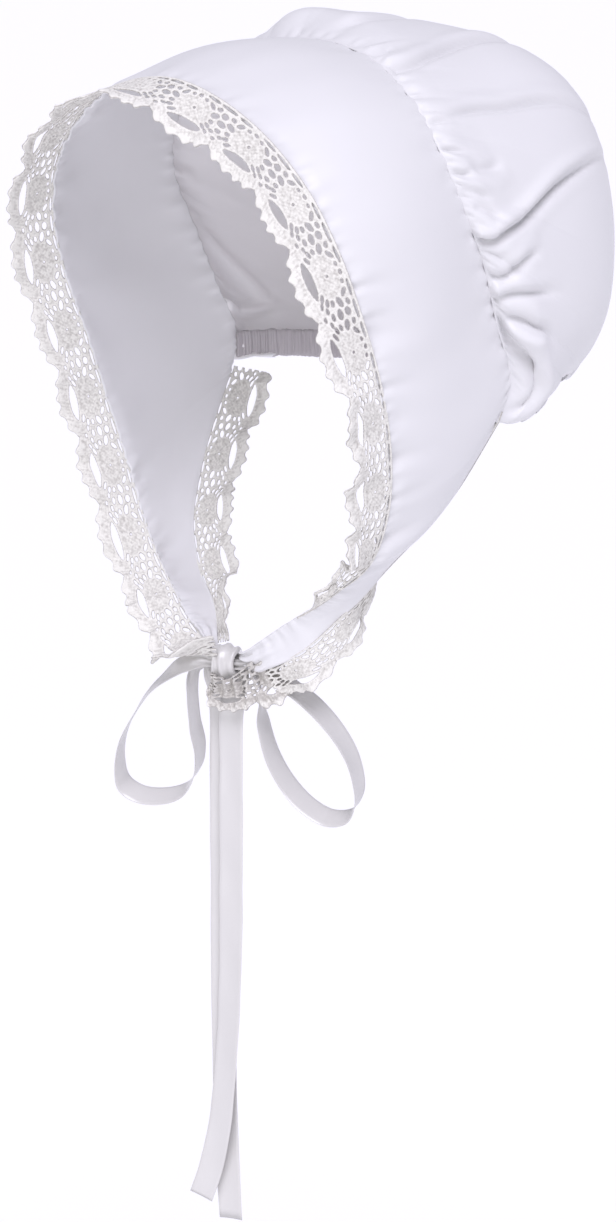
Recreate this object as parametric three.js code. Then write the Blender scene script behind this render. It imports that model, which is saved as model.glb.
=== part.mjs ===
// A prairie bonnet: a wide cloth brim with two chin flaps, a puffed crown gathered into it,
// a neck casing, cotton lace on the edges and a satin ribbon tied in a bow.
// Millimetres, +Z up. The wearer faces -Y and +X is the wearer's left.
// The origin is the top of the head, just under the cloth where brim and crown meet.
import * as THREE from "three";

// Driving sizes.
const brimWall = 2; // two layers of cloth, pressed flat
const crownWall = 1.2; // one layer of cloth with its small gathers
const laceWall = 1;
const ribbonWall = 0.8;
const laceWidth = 25;
const scallopDepth = 4; // how far the lace edge dips between two scallops
const seamGap = 0.5; // clearance between sewn pieces
const crownGap = 1.1; // from the brim's rear edge to the middle of the crown's edge
const steps = 4; // columns between two sections
const brimRows = 5;
const laceRows = 2;
const ribbonSteps = 2; // pieces between two rows of a ribbon's route
const brimSwell = 5; // outward crown of the brim between its two edges

// One side of the brim, from the top of the head down to the chin flap. Each section runs
// from the front edge to the rear edge; the other side mirrors it.
const brimSections = [
  { frontX: 0, frontY: -99, frontZ: -13, rearX: 0, rearY: 0, rearZ: 1 },
  { frontX: 37, frontY: -100, frontZ: -20, rearX: 44, rearY: -3, rearZ: -7 },
  { frontX: 67, frontY: -96, frontZ: -37, rearX: 76, rearY: -8, rearZ: -25 },
  { frontX: 89, frontY: -91, frontZ: -60, rearX: 94, rearY: -9, rearZ: -46 },
  { frontX: 101, frontY: -84, frontZ: -86, rearX: 102, rearY: -2, rearZ: -71 },
  { frontX: 105.5, frontY: -73, frontZ: -117, rearX: 103, rearY: 12, rearZ: -99 },
  { frontX: 105, frontY: -60, frontZ: -149, rearX: 100.5, rearY: 24.5, rearZ: -129 },
  { frontX: 102, frontY: -50, frontZ: -183, rearX: 98, rearY: 37, rearZ: -158 },
  { frontX: 94.5, frontY: -44, frontZ: -214, rearX: 96, rearY: 30, rearZ: -179 },
];
const seamEnd = 8; // the section where the crown stops and the lace of the flap starts

// The flaps below that. The left one twists, so that its outside looks forward.
const leftFlap = [
  { frontX: 83, frontY: -44, frontZ: -240, rearX: 88, rearY: 5, rearZ: -215 },
  { frontX: 70, frontY: -51, frontZ: -254, rearX: 74, rearY: -22, rearZ: -246 },
  { frontX: 57, frontY: -54, frontZ: -264, rearX: 63, rearY: -42, rearZ: -269 },
  { frontX: 38, frontY: -57, frontZ: -276, rearX: 46, rearY: -52, rearZ: -288 },
  { frontX: 17, frontY: -60, frontZ: -291, rearX: 22, rearY: -57, rearZ: -302 },
];
const rightFlap = [
  { frontX: 83, frontY: -44, frontZ: -240, rearX: 86, rearY: 3, rearZ: -216 },
  { frontX: 67, frontY: -48, frontZ: -259, rearX: 70, rearY: -20, rearZ: -249 },
  { frontX: 50, frontY: -53, frontZ: -272, rearX: 50, rearY: -32, rearZ: -270 },
  { frontX: 33, frontY: -58, frontZ: -283, rearX: 28, rearY: -43, rearZ: -283 },
  { frontX: 17, frontY: -61, frontZ: -293, rearX: 15, rearY: -54, rearZ: -295 },
];

// The lace's turn from the line of the brim, in degrees (towards the face is positive), and the
// part of its width that shows: it is crushed at the knot. A row per section, the first at the
// top of the head.
const frontLace = [
  { leftTurn: 10, leftReach: 1, rightTurn: 10, rightReach: 1 },
  { leftTurn: 50, leftReach: 1, rightTurn: -5, rightReach: 1 },
  { leftTurn: 58, leftReach: 1, rightTurn: -14, rightReach: 1 },
  { leftTurn: 45, leftReach: 1, rightTurn: -12, rightReach: 1 },
  { leftTurn: 42, leftReach: 1, rightTurn: -28, rightReach: 1 },
  { leftTurn: 18, leftReach: 1, rightTurn: -34, rightReach: 1 },
  { leftTurn: 0, leftReach: 1, rightTurn: -28, rightReach: 1 },
  { leftTurn: 0, leftReach: 1, rightTurn: -27, rightReach: 1 },
  { leftTurn: 5, leftReach: 1, rightTurn: -28, rightReach: 1 },
  { leftTurn: 0, leftReach: 0.85, rightTurn: -32, rightReach: 1 },
  { leftTurn: 80, leftReach: 0.3, rightTurn: -40, rightReach: 1 },
  { leftTurn: 90, leftReach: 0.26, rightTurn: -40, rightReach: 1 },
  { leftTurn: 90, leftReach: 0.26, rightTurn: -30, rightReach: 0.9 },
  { leftTurn: 90, leftReach: 0.26, rightTurn: -20, rightReach: 0.7 },
];
// The same for the lace on a flap's rear edge, from the corner of the crown down.
const rearLace = [
  { leftTurn: 60, leftReach: 1, rightTurn: 38, rightReach: 1 },
  { leftTurn: 62, leftReach: 1, rightTurn: 42, rightReach: 1 },
  { leftTurn: 50, leftReach: 0.8, rightTurn: 40, rightReach: 0.95 },
  { leftTurn: 12, leftReach: 0.75, rightTurn: 45, rightReach: 0.8 },
  { leftTurn: 8, leftReach: 0.75, rightTurn: 60, rightReach: 0.4 },
  { leftTurn: 8, leftReach: 0.7, rightTurn: 60, rightReach: 0.3 },
];

// The crown puffs out as a squared ball round this centre.
const puff = {
  centre: new THREE.Vector3(0, 50, -105),
  halfWidth: 112,
  forward: 190,
  backward: 99.5,
  upward: 114,
  downward: 88,
  squareAround: 2.6,
  squareAbove: 2.1,
  squareBelow: 2.7,
};
const puffRise = 0.09; // part of the way from the seam over which the cloth rises to the ball
const puffTuck = 0.12; // part of the way over which it tucks back to the neck casing
const crownRows = 15;
const rowCrowding = 0.09; // rows lie closer together at the seam and at the casing
const crownReach = 0.995; // the gathers stop just short of the corner
const casingReach = 0.97; // the crown's other end stops just short of the casing's ends
const casingClearance = 0.2;

// The way the cloth pulls as it leaves the seam: back in the middle, out and down at a corner.
const middlePull = new THREE.Vector3(0, 1, 0);
const cornerPull = new THREE.Vector3(0.77, 0.02, -0.63);
const pullRise = 1.5; // how late the corner's pull takes over
const pullStrength = 2.4;
const cornerPullStrength = 2.6; // added towards a corner

// The crown sags in a lobe under each corner, more on the left, stands up behind the seam and
// leans out to the left at the back.
const lobes = [
  { direction: new THREE.Vector3(0.76, 0.02, -0.65).normalize(), height: 16, spread: 0.34 },
  { direction: new THREE.Vector3(0.79, 0.25, -0.56).normalize(), height: -8, spread: 0.28 },
  { direction: new THREE.Vector3(-0.74, 0.08, -0.67).normalize(), height: 6, spread: 0.32 },
  { direction: new THREE.Vector3(-0.22, -0.3, 0.93).normalize(), height: 9, spread: 0.3 },
  { direction: new THREE.Vector3(0.52, 0.5, 0.68).normalize(), height: 7, spread: 0.36 },
];

// Large folds of the crown. Across is -1 at the right corner and 1 at the left one; along is 0
// at the seam and 1 at the neck casing. A fold runs from one place to the other.
const foldRunOut = 0.2; // how far a fold runs on past its two ends, as a part of its length
const crownFolds = [
  { across: 0.86, along: 0.05, toAcross: 0.46, toAlong: 0.48, depth: 5, width: 0.06 },
  { across: 0.93, along: 0.1, toAcross: 0.8, toAlong: 0.7, depth: 6, width: 0.06 },
  { across: 0.42, along: 0.04, toAcross: 0.3, toAlong: 0.42, depth: 3.5, width: 0.05 },
  { across: 0.2, along: 0.03, toAcross: 0.1, toAlong: 0.35, depth: 3, width: 0.05 },
  { across: 0.05, along: 0.6, toAcross: 0.3, toAlong: 0.95, depth: 4, width: 0.06 },
  { across: -0.12, along: 0.04, toAcross: -0.16, toAlong: 0.4, depth: 3, width: 0.05 },
  { across: -0.4, along: 0.04, toAcross: -0.33, toAlong: 0.45, depth: 4, width: 0.05 },
  { across: -0.7, along: 0.05, toAcross: -0.55, toAlong: 0.55, depth: 5, width: 0.06 },
  { across: -0.9, along: 0.1, toAcross: -0.72, toAlong: 0.7, depth: 5, width: 0.06 },
];

// The neck casing runs round the nape between the two seam ends.
const casing = { height: 14, thickness: 3.6, z: -163, endX: 92.5, endY: 39, midY: 83, columns: 28 };

// The bow, told in its own plane: out is to the wearer's left, up is up and fore is forward.
const bow = { centre: new THREE.Vector3(-1, -60, -301), turn: 23, tilt: 26 };
// The routes of the ribbons. Wide is the width there, narrow where the knot crushes it; edge is
// 0 where the ribbon's face looks forward and 1 where its edge does.
const tieLeftRoute = [
  { out: 18.4, up: 3.6, fore: 6.8, wide: 8, edge: 0 },
  { out: 12, up: 1.2, fore: 5, wide: 5, edge: 0 },
  { out: 7, up: 0, fore: 3.7, wide: 4.4, edge: 0 },
  { out: -7, up: 0, fore: 3.7, wide: 4.4, edge: 0 },
  { out: -12, up: 0, fore: 4.2, wide: 6, edge: 0.2 },
  { out: -22, up: -3, fore: 5, wide: 11, edge: 0.7 },
  { out: -36, up: -14, fore: 5, wide: 12.7, edge: 1 },
  { out: -47, up: -28, fore: 5, wide: 12.7, edge: 1 },
  { out: -55, up: -44, fore: 5, wide: 12.7, edge: 1 },
  { out: -58, up: -59, fore: 4, wide: 12.7, edge: 1 },
  { out: -56, up: -69, fore: 3, wide: 12.7, edge: 1 },
  { out: -48, up: -74, fore: 2, wide: 12.7, edge: 1 },
  { out: -36, up: -74, fore: 1, wide: 12.7, edge: 1 },
  { out: -24, up: -69, fore: 0, wide: 12.7, edge: 1 },
  { out: -17, up: -59, fore: 0, wide: 12.7, edge: 1 },
  { out: -15.5, up: -47, fore: 0, wide: 12.7, edge: 1 },
  { out: -18, up: -33, fore: 0, wide: 12.7, edge: 1 },
  { out: -19, up: -18, fore: 1, wide: 11, edge: 0.9 },
  { out: -17, up: -6, fore: 2, wide: 7, edge: 0.6 },
  { out: -12, up: -0.6, fore: 1.6, wide: 5, edge: 0.1 },
  { out: -7, up: 0, fore: 1.3, wide: 4.4, edge: 0 },
  { out: 6, up: 0, fore: 1.3, wide: 4.4, edge: 0 },
  { out: 11, up: -4, fore: 1.8, wide: 5, edge: 0 },
  { out: 11, up: -11, fore: 2.4, wide: 6, edge: 0 },
  { out: 7, up: -19, fore: 2.6, wide: 9, edge: 0 },
  { out: 4, up: -30, fore: 2.6, wide: 12.7, edge: 0 },
  { out: 3.4, up: -60, fore: 2.6, wide: 12.7, edge: 0 },
  { out: 3, up: -110, fore: 2.4, wide: 12.7, edge: 0.05 },
  { out: 2, up: -160, fore: 2.2, wide: 12.7, edge: 0.1 },
  { out: 0, up: -205, fore: 2.4, wide: 12.7, edge: 0.15 },
  { out: -4, up: -248, fore: 3.4, wide: 12.7, edge: 0.1 },
  { out: -9, up: -272, fore: 4.4, wide: 12.7, edge: 0 },
  { out: -14, up: -288, fore: 5.4, wide: 12.7, edge: 0 },
];
const tieRightRoute = [
  { out: -12, up: 6, fore: -8.2, wide: 6, edge: 0 },
  { out: -9.6, up: 2.4, fore: -5.4, wide: 5, edge: 0 },
  { out: -6.5, up: 0, fore: -3.7, wide: 4.4, edge: 0 },
  { out: 7, up: 0, fore: -3.7, wide: 4.4, edge: 0 },
  { out: 13, up: -4, fore: -4.4, wide: 6, edge: 0.2 },
  { out: 16, up: -16, fore: -5.5, wide: 10, edge: 0.7 },
  { out: 18, up: -31, fore: -5.5, wide: 12.7, edge: 1 },
  { out: 23, up: -48, fore: -5, wide: 12.7, edge: 1 },
  { out: 31, up: -61, fore: -5, wide: 12.7, edge: 1 },
  { out: 42, up: -70.5, fore: -4, wide: 12.7, edge: 1 },
  { out: 54, up: -75.5, fore: -4, wide: 12.7, edge: 1 },
  { out: 64.5, up: -73, fore: -4, wide: 12.7, edge: 1 },
  { out: 69.5, up: -63, fore: -4, wide: 12.7, edge: 1 },
  { out: 67, up: -47, fore: -4, wide: 12.7, edge: 1 },
  { out: 59, up: -32.5, fore: -4, wide: 12.7, edge: 1 },
  { out: 47, up: -20, fore: -4, wide: 12.7, edge: 1 },
  { out: 34, up: -11, fore: -3, wide: 11, edge: 0.9 },
  { out: 22, up: -4, fore: -2, wide: 7, edge: 0.6 },
  { out: 13, up: -0.4, fore: -1.6, wide: 5, edge: 0.1 },
  { out: 7, up: 0, fore: -1.3, wide: 4.4, edge: 0 },
  { out: -6, up: 0, fore: -1.3, wide: 4.4, edge: 0 },
  { out: -11, up: -4, fore: -1.8, wide: 5, edge: 0 },
  { out: -11, up: -11, fore: -1.6, wide: 6, edge: 0 },
  { out: -7, up: -19, fore: -1.2, wide: 9, edge: 0 },
  { out: -4, up: -30, fore: -1, wide: 12.7, edge: 0 },
  { out: -3.4, up: -60, fore: -1, wide: 12.7, edge: 0 },
  { out: -3.4, up: -110, fore: -1, wide: 12.7, edge: -0.05 },
  { out: -3.6, up: -160, fore: -1.4, wide: 12.7, edge: -0.1 },
  { out: -3.4, up: -205, fore: -1.6, wide: 12.7, edge: -0.1 },
  { out: -2.4, up: -255, fore: -1.6, wide: 12.7, edge: -0.05 },
  { out: 0, up: -301, fore: -1, wide: 12.7, edge: 0 },
];
const knotRing = { length: 12, halfUp: 8.4, halfFore: 8, holeUp: 4.8, holeFore: 5.6 };

// ---- Curves ----

const sideOf = (sections, side) =>
  sections.map((row) => ({
    front: new THREE.Vector3(side * row.frontX, row.frontY, row.frontZ),
    rear: new THREE.Vector3(side * row.rearX, row.rearY, row.rearZ),
  }));

const leftSide = sideOf([...brimSections, ...leftFlap], 1);
const rightSide = sideOf([...brimSections, ...rightFlap], -1);
const sections = [...rightSide.slice(1).reverse(), ...leftSide];
const last = leftSide.length - 1; // sections are numbered -last at the right tip to last

const smooth = (points) => new THREE.CatmullRomCurve3(points, false, "centripetal");
const frontCurve = smooth(sections.map((section) => section.front));
const rearOf = (from, to) =>
  smooth(sections.slice(from + last, to + last + 1).map((section) => section.rear));
const rearPieces = [
  { from: -last, to: -seamEnd, curve: rearOf(-last, -seamEnd) },
  { from: -seamEnd, to: seamEnd, curve: rearOf(-seamEnd, seamEnd) },
  { from: seamEnd, to: last, curve: rearOf(seamEnd, last) },
];

const frontAt = (s) => frontCurve.getPoint((s + last) / (2 * last));
function rearAt(s) {
  const piece = rearPieces.find((one) => s <= one.to) ?? rearPieces[2];
  return piece.curve.getPoint((s - piece.from) / (piece.to - piece.from));
}

// The brim's middle surface: across is the section number, along is 0 at the front edge and 1
// at the rear edge.
const headAxis = new THREE.Vector3(0, 0, -110);
function brimAt(s, along) {
  const point = frontAt(s).lerp(rearAt(s), along);
  const outward = new THREE.Vector3(point.x, 0, point.z - headAxis.z).normalize();
  const flapFade = THREE.MathUtils.clamp(1 - (Math.abs(s) - seamEnd) / 3, 0, 1);
  return point.addScaledVector(outward, brimSwell * Math.sin(Math.PI * along) * flapFade);
}

// ---- Walls ----

// The unit normal at one point of a grid, from its neighbours.
function gridNormal(grid, i, j) {
  const along = grid[Math.min(i + 1, grid.length - 1)][j].clone();
  along.sub(grid[Math.max(i - 1, 0)][j]);
  const across = grid[i][Math.min(j + 1, grid[i].length - 1)].clone();
  across.sub(grid[i][Math.max(j - 1, 0)]);
  return along.cross(across).normalize();
}

function signedVolume(positions, faces) {
  const [a, b, c] = [new THREE.Vector3(), new THREE.Vector3(), new THREE.Vector3()];
  let sum = 0;
  for (let k = 0; k < faces.length; k += 3) {
    a.fromArray(positions, 3 * faces[k]);
    b.fromArray(positions, 3 * faces[k + 1]);
    c.fromArray(positions, 3 * faces[k + 2]);
    sum += a.dot(b.cross(c)) / 6;
  }
  return sum;
}

// A closed wall of even thickness whose middle surface is a grid of points.
function wall(grid, thickness) {
  const [columns, rows] = [grid.length, grid[0].length];
  const positions = [];
  for (const side of [0.5, -0.5])
    for (let i = 0; i < columns; i++)
      for (let j = 0; j < rows; j++) {
        const point = grid[i][j].clone();
        point.addScaledVector(gridNormal(grid, i, j), side * thickness);
        positions.push(point.x, point.y, point.z);
      }
  const back = columns * rows;
  const faces = [];
  const quad = (a, b, c, d) => faces.push(a, b, c, a, c, d);
  for (let i = 0; i < columns - 1; i++)
    for (let j = 0; j < rows - 1; j++) {
      const a = i * rows + j;
      const b = a + rows;
      const c = b + 1;
      const d = a + 1;
      quad(a, b, c, d);
      quad(back + d, back + c, back + b, back + a);
    }
  const rim = [];
  for (let i = 0; i < columns - 1; i++) rim.push(i * rows);
  for (let j = 0; j < rows - 1; j++) rim.push((columns - 1) * rows + j);
  for (let i = columns - 1; i > 0; i--) rim.push(i * rows + rows - 1);
  for (let j = rows - 1; j > 0; j--) rim.push(j);
  rim.forEach((a, k) => {
    const b = rim[(k + 1) % rim.length];
    quad(a, back + a, back + b, b);
  });
  if (signedVolume(positions, faces) < 0) faces.reverse();
  const geometry = new THREE.BufferGeometry();
  geometry.setAttribute("position", new THREE.Float32BufferAttribute(positions, 3));
  geometry.setIndex(faces);
  geometry.computeVertexNormals();
  return geometry;
}

const gridOf = (columns, rows, pointAt) =>
  Array.from({ length: columns + 1 }, (_, i) =>
    Array.from({ length: rows + 1 }, (_, j) => pointAt(i / columns, j / rows)),
  );

// ---- Brim ----

const brimColumns = 2 * last * steps;
const brimGrid = gridOf(brimColumns, brimRows, (u, v) => brimAt((2 * u - 1) * last, v));

// ---- Crown ----

function puffRadius(direction) {
  const depth = direction.y < 0 ? puff.forward : puff.backward;
  const height = direction.z > 0 ? puff.upward : puff.downward;
  const around =
    (Math.abs(direction.x / puff.halfWidth) ** puff.squareAround +
      Math.abs(direction.y / depth) ** puff.squareAround) ** (1 / puff.squareAround);
  const square = direction.z > 0 ? puff.squareAbove : puff.squareBelow;
  let radius = (around ** square + Math.abs(direction.z / height) ** square) ** (-1 / square);
  for (const lobe of lobes)
    radius += lobe.height * Math.exp(-((direction.angleTo(lobe.direction) / lobe.spread) ** 2));
  return radius;
}

// The dent of all the folds at one place of the crown, in millimetres.
function foldDepth(across, along) {
  let depth = 0;
  for (const fold of crownFolds) {
    const [du, dv] = [fold.toAcross - fold.across, fold.toAlong - fold.along];
    const t = ((across - fold.across) * du + (along - fold.along) * dv) / (du * du + dv * dv);
    if (t < -foldRunOut || t > 1 + foldRunOut) continue;
    const way = THREE.MathUtils.clamp(t, 0, 1);
    const off = Math.hypot(across - fold.across - way * du, along - fold.along - way * dv);
    const fade = Math.sin((Math.PI * (t + foldRunOut)) / (1 + 2 * foldRunOut));
    depth += fold.depth * fade * Math.exp(-((off / fold.width) ** 2));
  }
  return depth;
}

function casingAt(u) {
  const angle = (u * Math.PI) / 2;
  const x = casing.endX * Math.sin(angle);
  const y = casing.endY + (casing.midY - casing.endY) * Math.cos(angle);
  return new THREE.Vector3(x, y, casing.z);
}

function casingOutward(u) {
  const ahead = casingAt(u + 0.01).sub(casingAt(u - 0.01));
  return new THREE.Vector3(-ahead.y, ahead.x, 0).normalize();
}

function crownAt(u, v) {
  const s = u * seamEnd;
  const away = rearAt(s).sub(brimAt(s, 0.8)).normalize();
  const start = rearAt(s).addScaledVector(away, crownGap);
  const end = casingAt(u * casingReach);
  const standOff = casing.thickness / 2 + crownGap + casingClearance;
  end.z += casing.height / 2 - crownGap;
  end.addScaledVector(casingOutward(u * casingReach), standOff);
  start.sub(puff.centre);
  end.sub(puff.centre);
  const corner = cornerPull.clone();
  corner.x *= Math.sign(u);
  const pull = middlePull.clone().lerp(corner, Math.abs(u) ** pullRise).normalize();
  const strength = pullStrength + cornerPullStrength * u * u;
  const direction = start.clone().normalize().multiplyScalar((1 - v) ** 2);
  direction.addScaledVector(pull, strength * v * (1 - v));
  direction.addScaledVector(end.clone().normalize(), v ** 2).normalize();
  const edge = THREE.MathUtils.lerp(start.length(), end.length(), v);
  const up = THREE.MathUtils.smoothstep(v, 0, puffRise);
  const down = THREE.MathUtils.smoothstep(v, 1 - puffTuck, 1);
  const puffed = puffRadius(direction) - foldDepth(u, v);
  const radius = THREE.MathUtils.lerp(edge, puffed, up * (1 - down));
  return direction.multiplyScalar(radius).add(puff.centre);
}

const crownRow = (t) => t - rowCrowding * Math.sin(2 * Math.PI * t);
const crownGrid = gridOf(2 * seamEnd * steps, crownRows, (u, t) =>
  crownAt((2 * u - 1) * crownReach, crownRow(t)),
);

// ---- Neck casing ----

const casingGrid = gridOf(casing.columns, 1, (u, v) => {
  const point = casingAt(2 * u - 1);
  point.z += (0.5 - v) * casing.height;
  return point;
});

// ---- Lace ----

// A column of a table, read between two rows.
function readTable(table, column, at) {
  const k = Math.min(Math.floor(at), table.length - 2);
  return THREE.MathUtils.lerp(table[k][column], table[k + 1][column], at - k);
}

// One point of a lace that leaves the brim's edge at section s. Rear is true for the lace of a
// flap's rear edge. Out is 0 at the foot and 1 at the scalloped edge.
function laceAt(s, out, rear, turn, reach) {
  const edgeAt = rear ? rearAt : frontAt;
  const h = 0.05;
  const low = Math.max(s - h, -last);
  const high = Math.min(s + h, last);
  const tangent = edgeAt(high).sub(edgeAt(low)).normalize();
  const ahead = edgeAt(s).sub(brimAt(s, 0.5));
  ahead.addScaledVector(tangent, -ahead.dot(tangent)).normalize();
  const inward = tangent.clone().cross(ahead).normalize();
  if (rear) inward.negate();
  const angle = THREE.MathUtils.degToRad(turn);
  const way = ahead.clone().multiplyScalar(Math.cos(angle)).addScaledVector(inward, Math.sin(angle));
  const scallop = laceWidth * reach - scallopDepth * (1 - Math.abs(Math.sin(Math.PI * s))) * reach;
  const foot = edgeAt(s).addScaledVector(ahead, seamGap + laceWall / 2);
  return foot.addScaledVector(way, out * scallop);
}

const frontLaceGrid = gridOf(brimColumns, laceRows, (u, v) => {
  const s = (2 * u - 1) * last;
  const side = s < 0 ? "right" : "left";
  const turn = readTable(frontLace, `${side}Turn`, Math.abs(s));
  return laceAt(s, v, false, turn, readTable(frontLace, `${side}Reach`, Math.abs(s)));
});

function rearLaceGrid(side) {
  const sign = side === "right" ? -1 : 1;
  return gridOf((last - seamEnd) * steps, laceRows, (u, v) => {
    const below = u * (last - seamEnd);
    const turn = readTable(rearLace, `${side}Turn`, below);
    const reach = readTable(rearLace, `${side}Reach`, below);
    return laceAt(sign * (seamEnd + below), v, true, turn, reach);
  });
}

// ---- Ribbons ----

const bowTurn = THREE.MathUtils.degToRad(bow.turn);
const bowTilt = THREE.MathUtils.degToRad(bow.tilt);
const bowOut = new THREE.Vector3(Math.cos(bowTurn), Math.sin(bowTurn), 0);
const bowUp = new THREE.Vector3(0, 0, 1);
const bowFore = new THREE.Vector3().crossVectors(bowOut, bowUp);
const bowEdge = bowFore.clone().multiplyScalar(Math.cos(bowTilt)).addScaledVector(bowUp, -Math.sin(bowTilt));

function ribbonGrid(route) {
  const places = smooth(
    route.map((row) =>
      bow.centre
        .clone()
        .addScaledVector(bowOut, row.out)
        .addScaledVector(bowUp, row.up)
        .addScaledVector(bowFore, row.fore),
    ),
  );
  return gridOf((route.length - 1) * ribbonSteps, 1, (u, v) => {
    const at = u * (route.length - 1);
    const wide = readTable(route, "wide", at);
    const edge = readTable(route, "edge", at);
    const tangent = places.getTangent(u);
    const flat = bowFore.clone().cross(tangent).normalize();
    const across = flat.multiplyScalar(1 - Math.abs(edge)).addScaledVector(bowEdge, edge);
    across.addScaledVector(tangent, -across.dot(tangent)).normalize();
    return places.getPoint(u).addScaledVector(across, (v - 0.5) * wide);
  });
}

function knotGeometry() {
  const oval = (halfUp, halfFore) =>
    Array.from({ length: 16 }, (_, k) => {
      const angle = (k / 16) * 2 * Math.PI;
      return new THREE.Vector2(halfUp * Math.cos(angle), halfFore * Math.sin(angle));
    });
  const shape = new THREE.Shape(oval(knotRing.halfUp, knotRing.halfFore));
  shape.holes.push(new THREE.Path(oval(knotRing.holeUp, knotRing.holeFore)));
  const geometry = new THREE.ExtrudeGeometry(shape, { depth: knotRing.length, bevelEnabled: false });
  geometry.translate(0, 0, -knotRing.length / 2);
  const place = new THREE.Matrix4().makeBasis(bowUp, bowFore.clone().negate(), bowOut);
  if (place.determinant() < 0) place.makeBasis(bowUp, bowFore, bowOut);
  return geometry.applyMatrix4(place.setPosition(bow.centre));
}

// ---- The bonnet ----

const cloth = { color: 0xe9e8f2, roughness: 0.62 };
const lace = { color: 0xf0eeec, roughness: 0.85 };
const satin = { color: 0xe4e2ea, roughness: 0.35 };

const bonnet = new THREE.Group();
function add(name, geometry, finish) {
  const material = new THREE.MeshStandardMaterial({ ...finish, metalness: 0 });
  const mesh = new THREE.Mesh(geometry, material);
  mesh.name = name;
  bonnet.add(mesh);
}

add("brim", wall(brimGrid, brimWall), cloth);
add("crown", wall(crownGrid, crownWall), cloth);
add("neck_casing", wall(casingGrid, casing.thickness), cloth);
add("lace_front", wall(frontLaceGrid, laceWall), lace);
add("lace_rear_left", wall(rearLaceGrid("left"), laceWall), lace);
add("lace_rear_right", wall(rearLaceGrid("right"), laceWall), lace);
add("tie_left", wall(ribbonGrid(tieLeftRoute), ribbonWall), satin);
add("tie_right", wall(ribbonGrid(tieRightRoute), ribbonWall), satin);
add("bow_knot", knotGeometry(), satin);

export default bonnet;
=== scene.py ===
import math
import bmesh
import bpy
import numpy as np
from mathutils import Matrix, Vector


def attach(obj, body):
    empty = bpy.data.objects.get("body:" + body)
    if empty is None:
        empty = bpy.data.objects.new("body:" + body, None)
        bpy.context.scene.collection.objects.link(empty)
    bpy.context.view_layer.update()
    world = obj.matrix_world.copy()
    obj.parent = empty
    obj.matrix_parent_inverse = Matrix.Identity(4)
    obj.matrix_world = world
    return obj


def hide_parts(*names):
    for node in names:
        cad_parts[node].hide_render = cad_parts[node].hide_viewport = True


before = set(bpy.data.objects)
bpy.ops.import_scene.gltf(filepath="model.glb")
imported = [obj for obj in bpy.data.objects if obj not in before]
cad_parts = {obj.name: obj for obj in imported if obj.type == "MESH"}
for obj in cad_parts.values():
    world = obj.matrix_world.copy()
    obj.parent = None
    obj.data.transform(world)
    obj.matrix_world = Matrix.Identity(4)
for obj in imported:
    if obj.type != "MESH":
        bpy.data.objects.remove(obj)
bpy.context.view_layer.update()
mm = 0.001

# Camera, light and floor.
cameraSettings = {
    "azimuth": 46,
    "elevation": 14,
    "distance": 1.5,
    "target": (0, -0.0047, -0.2845),
    "lens": 86.99,
    "sensor": 36,
    "farthest": 100,
}
# Soft daylight: a wide sun from the camera's side and an even white sky.
sunSettings = {"azimuth": 52, "elevation": 54, "spread": 34, "strength": 2.2, "colour": "#f4f2ff"}
fillSettings = {"at": (0.9, -2.3, -0.2), "towards": (0, 0, -0.15), "size": 1.7, "power": 12}
roomSettings = {"sky": "#f3f2ff", "skyStrength": 0.56, "floor": "#ffffff", "floorZ": -1.3, "floorSize": 80}


def unit(v):
    v = np.asarray(v, float)
    return v / np.maximum(np.linalg.norm(v, axis=-1, keepdims=True), 1e-12)


def lengthOf(v):
    return np.linalg.norm(v, axis=-1)


def runningSum(steps):
    return np.concatenate([[0], np.cumsum(steps)])


def linear(colour):  # sRGB hex to linear RGBA
    values = [int(colour[i : i + 2], 16) / 255 for i in (1, 3, 5)]
    return tuple(c / 12.92 if c <= 0.04045 else ((c + 0.055) / 1.055) ** 2.4 for c in values) + (1.0,)


def wayTo(settings):  # the way from the bonnet to a camera or a lamp; azimuth 0 is in front
    turn, lift = math.radians(settings["azimuth"]), math.radians(settings["elevation"])
    return Vector((math.sin(turn) * math.cos(lift), -math.cos(turn) * math.cos(lift), math.sin(lift)))


def addObject(name, data):
    made = bpy.data.objects.new(name, data)
    bpy.context.collection.objects.link(made)
    return made


def addNode(tree, kind, settings={}, links={}):
    node = tree.nodes.new(kind)
    for name, value in settings.items():
        if isinstance(name, int) or name in node.inputs:
            node.inputs[name].default_value = value
        else:
            setattr(node, name, value)
    for name, source in links.items():
        tree.links.new(source, node.inputs[name])
    return node.outputs


back = wayTo(cameraSettings)
camera = addObject("camera", bpy.data.cameras.new("camera"))
camera.location = Vector(cameraSettings["target"]) + back * cameraSettings["distance"]
camera.rotation_euler = back.to_track_quat("Z", "Y").to_euler()
camera.data.sensor_fit = "VERTICAL"
camera.data.sensor_height = cameraSettings["sensor"]
camera.data.lens = cameraSettings["lens"]
camera.data.clip_end = cameraSettings["farthest"]
bpy.context.scene.camera = camera
print("camera placed")


def addLamp(name, kind, way, at=(0, 0, 0)):
    lamp = addObject(name, bpy.data.lights.new(name, kind))
    lamp.location = at
    lamp.rotation_euler = way.to_track_quat("-Z", "Y").to_euler()
    return lamp.data


sun = addLamp("daylight", "SUN", -wayTo(sunSettings))
sun.energy = sunSettings["strength"]
sun.color = linear(sunSettings["colour"])[:3]
sun.angle = math.radians(sunSettings["spread"])
fillWay = Vector(fillSettings["towards"]) - Vector(fillSettings["at"])
fill = addLamp("fillLight", "AREA", fillWay, fillSettings["at"])
fill.size = fillSettings["size"]
fill.energy = fillSettings["power"]

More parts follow.
